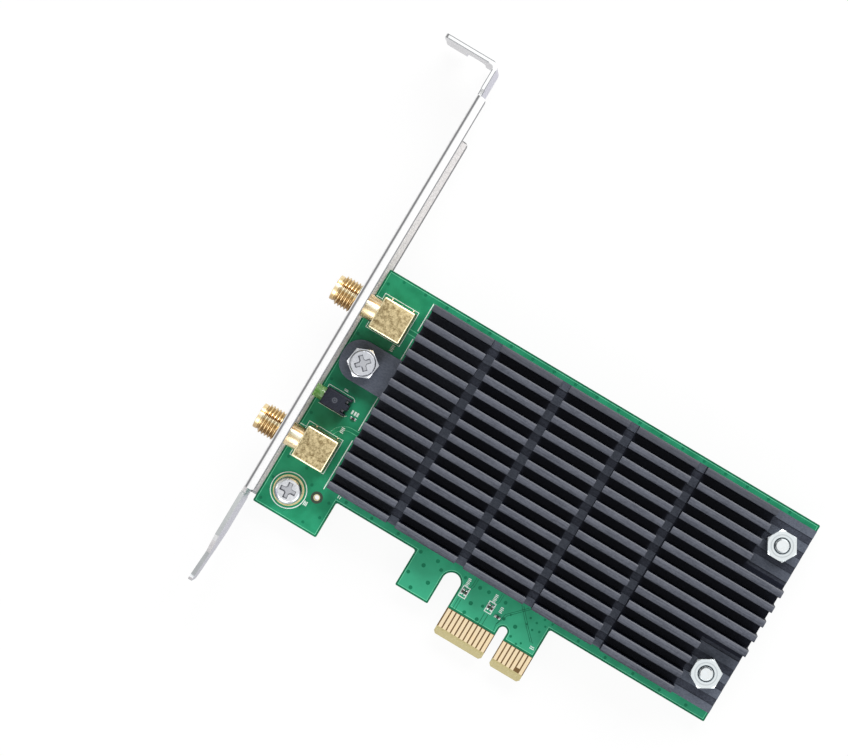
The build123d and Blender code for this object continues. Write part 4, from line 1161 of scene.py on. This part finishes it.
# Round moulding mark on the holder's top, a small disc inside a faint ring
bm = bmesh.new()
mark = (-53.1, DIODE_Y + 0.1)
ring(bm, mark, 0.32, 0.58, 6.08, 6.115, 36)
disc(bm, mark, 0.2, 6.07, 6.105, 20)
finish_piece("holder_mould_mark", bm, "dimple")


# Solder side: scattered vias clear of the two heatsink screws, and plain traces
SCREW_CLEAR = 3.6
random.seed(7)
rear_places = top_row + left_corner[:4]
for column in range(17):
    for row in range(6):
        x = -38.0 + column * 4.9 + random.uniform(-1.3, 1.3)
        y = 19.0 + row * 6.6 + random.uniform(-1.6, 1.6)
        away = [math.hypot(x - LOW_NUT[0], y - LOW_NUT[1] - up) for up in (0.0, TWIN_STEP)]
        if min(away) > SCREW_CLEAR:
            rear_places.append((x, y, random.choice((0.2, 0.26, 0.3))))
via_field("rear_vias", rear_places, BACK, -1)
bm = bmesh.new()
for route in (
    [(-9.4, 6.2), (-9.4, 20.0)],
    [(-8.7, 6.2), (-8.7, 20.4)],
    [(-3.6, 6.2), (-1.2, 24.0)],
    [(-2.9, 6.2), (-0.5, 23.6)],
    [(-38.0, 22.0), (-22.0, 30.5), (-4.0, 30.5)],
    [(14.0, 20.0), (30.0, 33.0), (30.0, 44.0)],
    [(-44.0, 40.0), (-20.0, 48.0), (6.0, 48.0), (10.0, 44.0)],
):
    run(bm, route, 0.2, BACK - 0.006, BACK)
finish_piece("rear_traces", bm, "trace")


# Camera, lights and floor

camera_data = bpy.data.cameras.new("camera")
camera_data.sensor_width = SENSOR
camera_data.lens = SENSOR * VIEW_HEIGHT / VIEW_WIDTH
camera_data.shift_x, camera_data.shift_y = VIEW_SHIFT
camera_data.clip_start = 0.01
camera_data.clip_end = 20.0
camera = bpy.data.objects.new("camera", camera_data)
camera.location = (VIEW_FOOT[0] * MM, VIEW_FOOT[1] * MM, VIEW_HEIGHT * MM)
camera.rotation_euler = (0.0, 0.0, VIEW_TURN)
bpy.context.scene.collection.objects.link(camera)
bpy.context.scene.camera = camera

FLOOR_Z = -0.0036


def backdrop_mix(nodes, links, lit, plain):
    """Shows the plain shader to camera, glossy and transmitted rays, and the lit one to others."""
    path = nodes.new("ShaderNodeLightPath")
    seen = path.outputs["Is Camera Ray"]
    for ray in ("Is Glossy Ray", "Is Transmission Ray"):
        either = nodes.new("ShaderNodeMath")
        either.operation = "MAXIMUM"
        links.new(seen, either.inputs[0])
        links.new(path.outputs[ray], either.inputs[1])
        seen = either.outputs[0]
    mix = nodes.new("ShaderNodeMixShader")
    links.new(seen, mix.inputs[0])
    links.new(lit, mix.inputs[1])
    links.new(plain, mix.inputs[2])
    return mix.outputs[0]


floor_material = bpy.data.materials.new("floor_white")
floor_material.use_nodes = True
floor_nodes, floor_links = floor_material.node_tree.nodes, floor_material.node_tree.links
floor_shader = floor_nodes["Principled BSDF"]
floor_shader.inputs["Base Color"].default_value = (0.86, 0.86, 0.86, 1.0)
floor_shader.inputs["Roughness"].default_value = 0.9
glow = floor_nodes.new("ShaderNodeEmission")
glow.inputs["Strength"].default_value = 1.0
soft = floor_nodes.new("ShaderNodeMixShader")
soft.inputs[0].default_value = 0.92
floor_links.new(floor_shader.outputs[0], soft.inputs[1])
floor_links.new(glow.outputs[0], soft.inputs[2])
floor_links.new(
    backdrop_mix(floor_nodes, floor_links, floor_shader.outputs[0], soft.outputs[0]),
    floor_nodes["Material Output"].inputs["Surface"],
)
bm = bmesh.new()
floor_place = Matrix.Translation((0, 0, FLOOR_Z))
bmesh.ops.create_grid(bm, x_segments=1, y_segments=1, size=3.0, matrix=floor_place)
floor_mesh = bpy.data.meshes.new("floor")
bm.to_mesh(floor_mesh)
bm.free()
floor_mesh.materials.append(floor_material)
floor = bpy.data.objects.new("floor", floor_mesh)
bpy.context.scene.collection.objects.link(floor)

world = bpy.data.worlds.new("studio")
bpy.context.scene.world = world
world.use_nodes = True
world_nodes, world_links = world.node_tree.nodes, world.node_tree.links
room = world_nodes["Background"]
room.inputs["Color"].default_value = (1.0, 1.0, 1.0, 1.0)
room.inputs["Strength"].default_value = 0.38
white = world_nodes.new("ShaderNodeBackground")
white.inputs["Strength"].default_value = 1.0
world_links.new(
    backdrop_mix(world_nodes, world_links, room.outputs[0], white.outputs[0]),
    world_nodes["World Output"].inputs["Surface"],
)


def area_lamp(name, place, target, size, power):
    """A large soft lamp aimed at a point on the card."""
    data = bpy.data.lights.new(name, "AREA")
    data.shape = "RECTANGLE"
    data.size, data.size_y = size
    data.energy = power
    lamp = bpy.data.objects.new(name, data)
    lamp.location = place
    aim = Vector(target) - Vector(place)
    lamp.rotation_euler = aim.to_track_quat("-Z", "Y").to_euler()
    bpy.context.scene.collection.objects.link(lamp)


area_lamp("top_softbox", (-0.05, 0.62, 0.55), (-0.01, 0.03, 0.0), (0.6, 0.45), 6.2)
area_lamp("side_softbox", (0.7, -0.25, 0.6), (0.0, 0.03, 0.0), (0.5, 0.5), 2.6)
area_lamp("low_softbox", (-0.1, -0.55, 0.5), (-0.01, 0.0, 0.0), (0.5, 0.45), 2.4)

bpy.context.scene.view_settings.view_transform = "Standard"
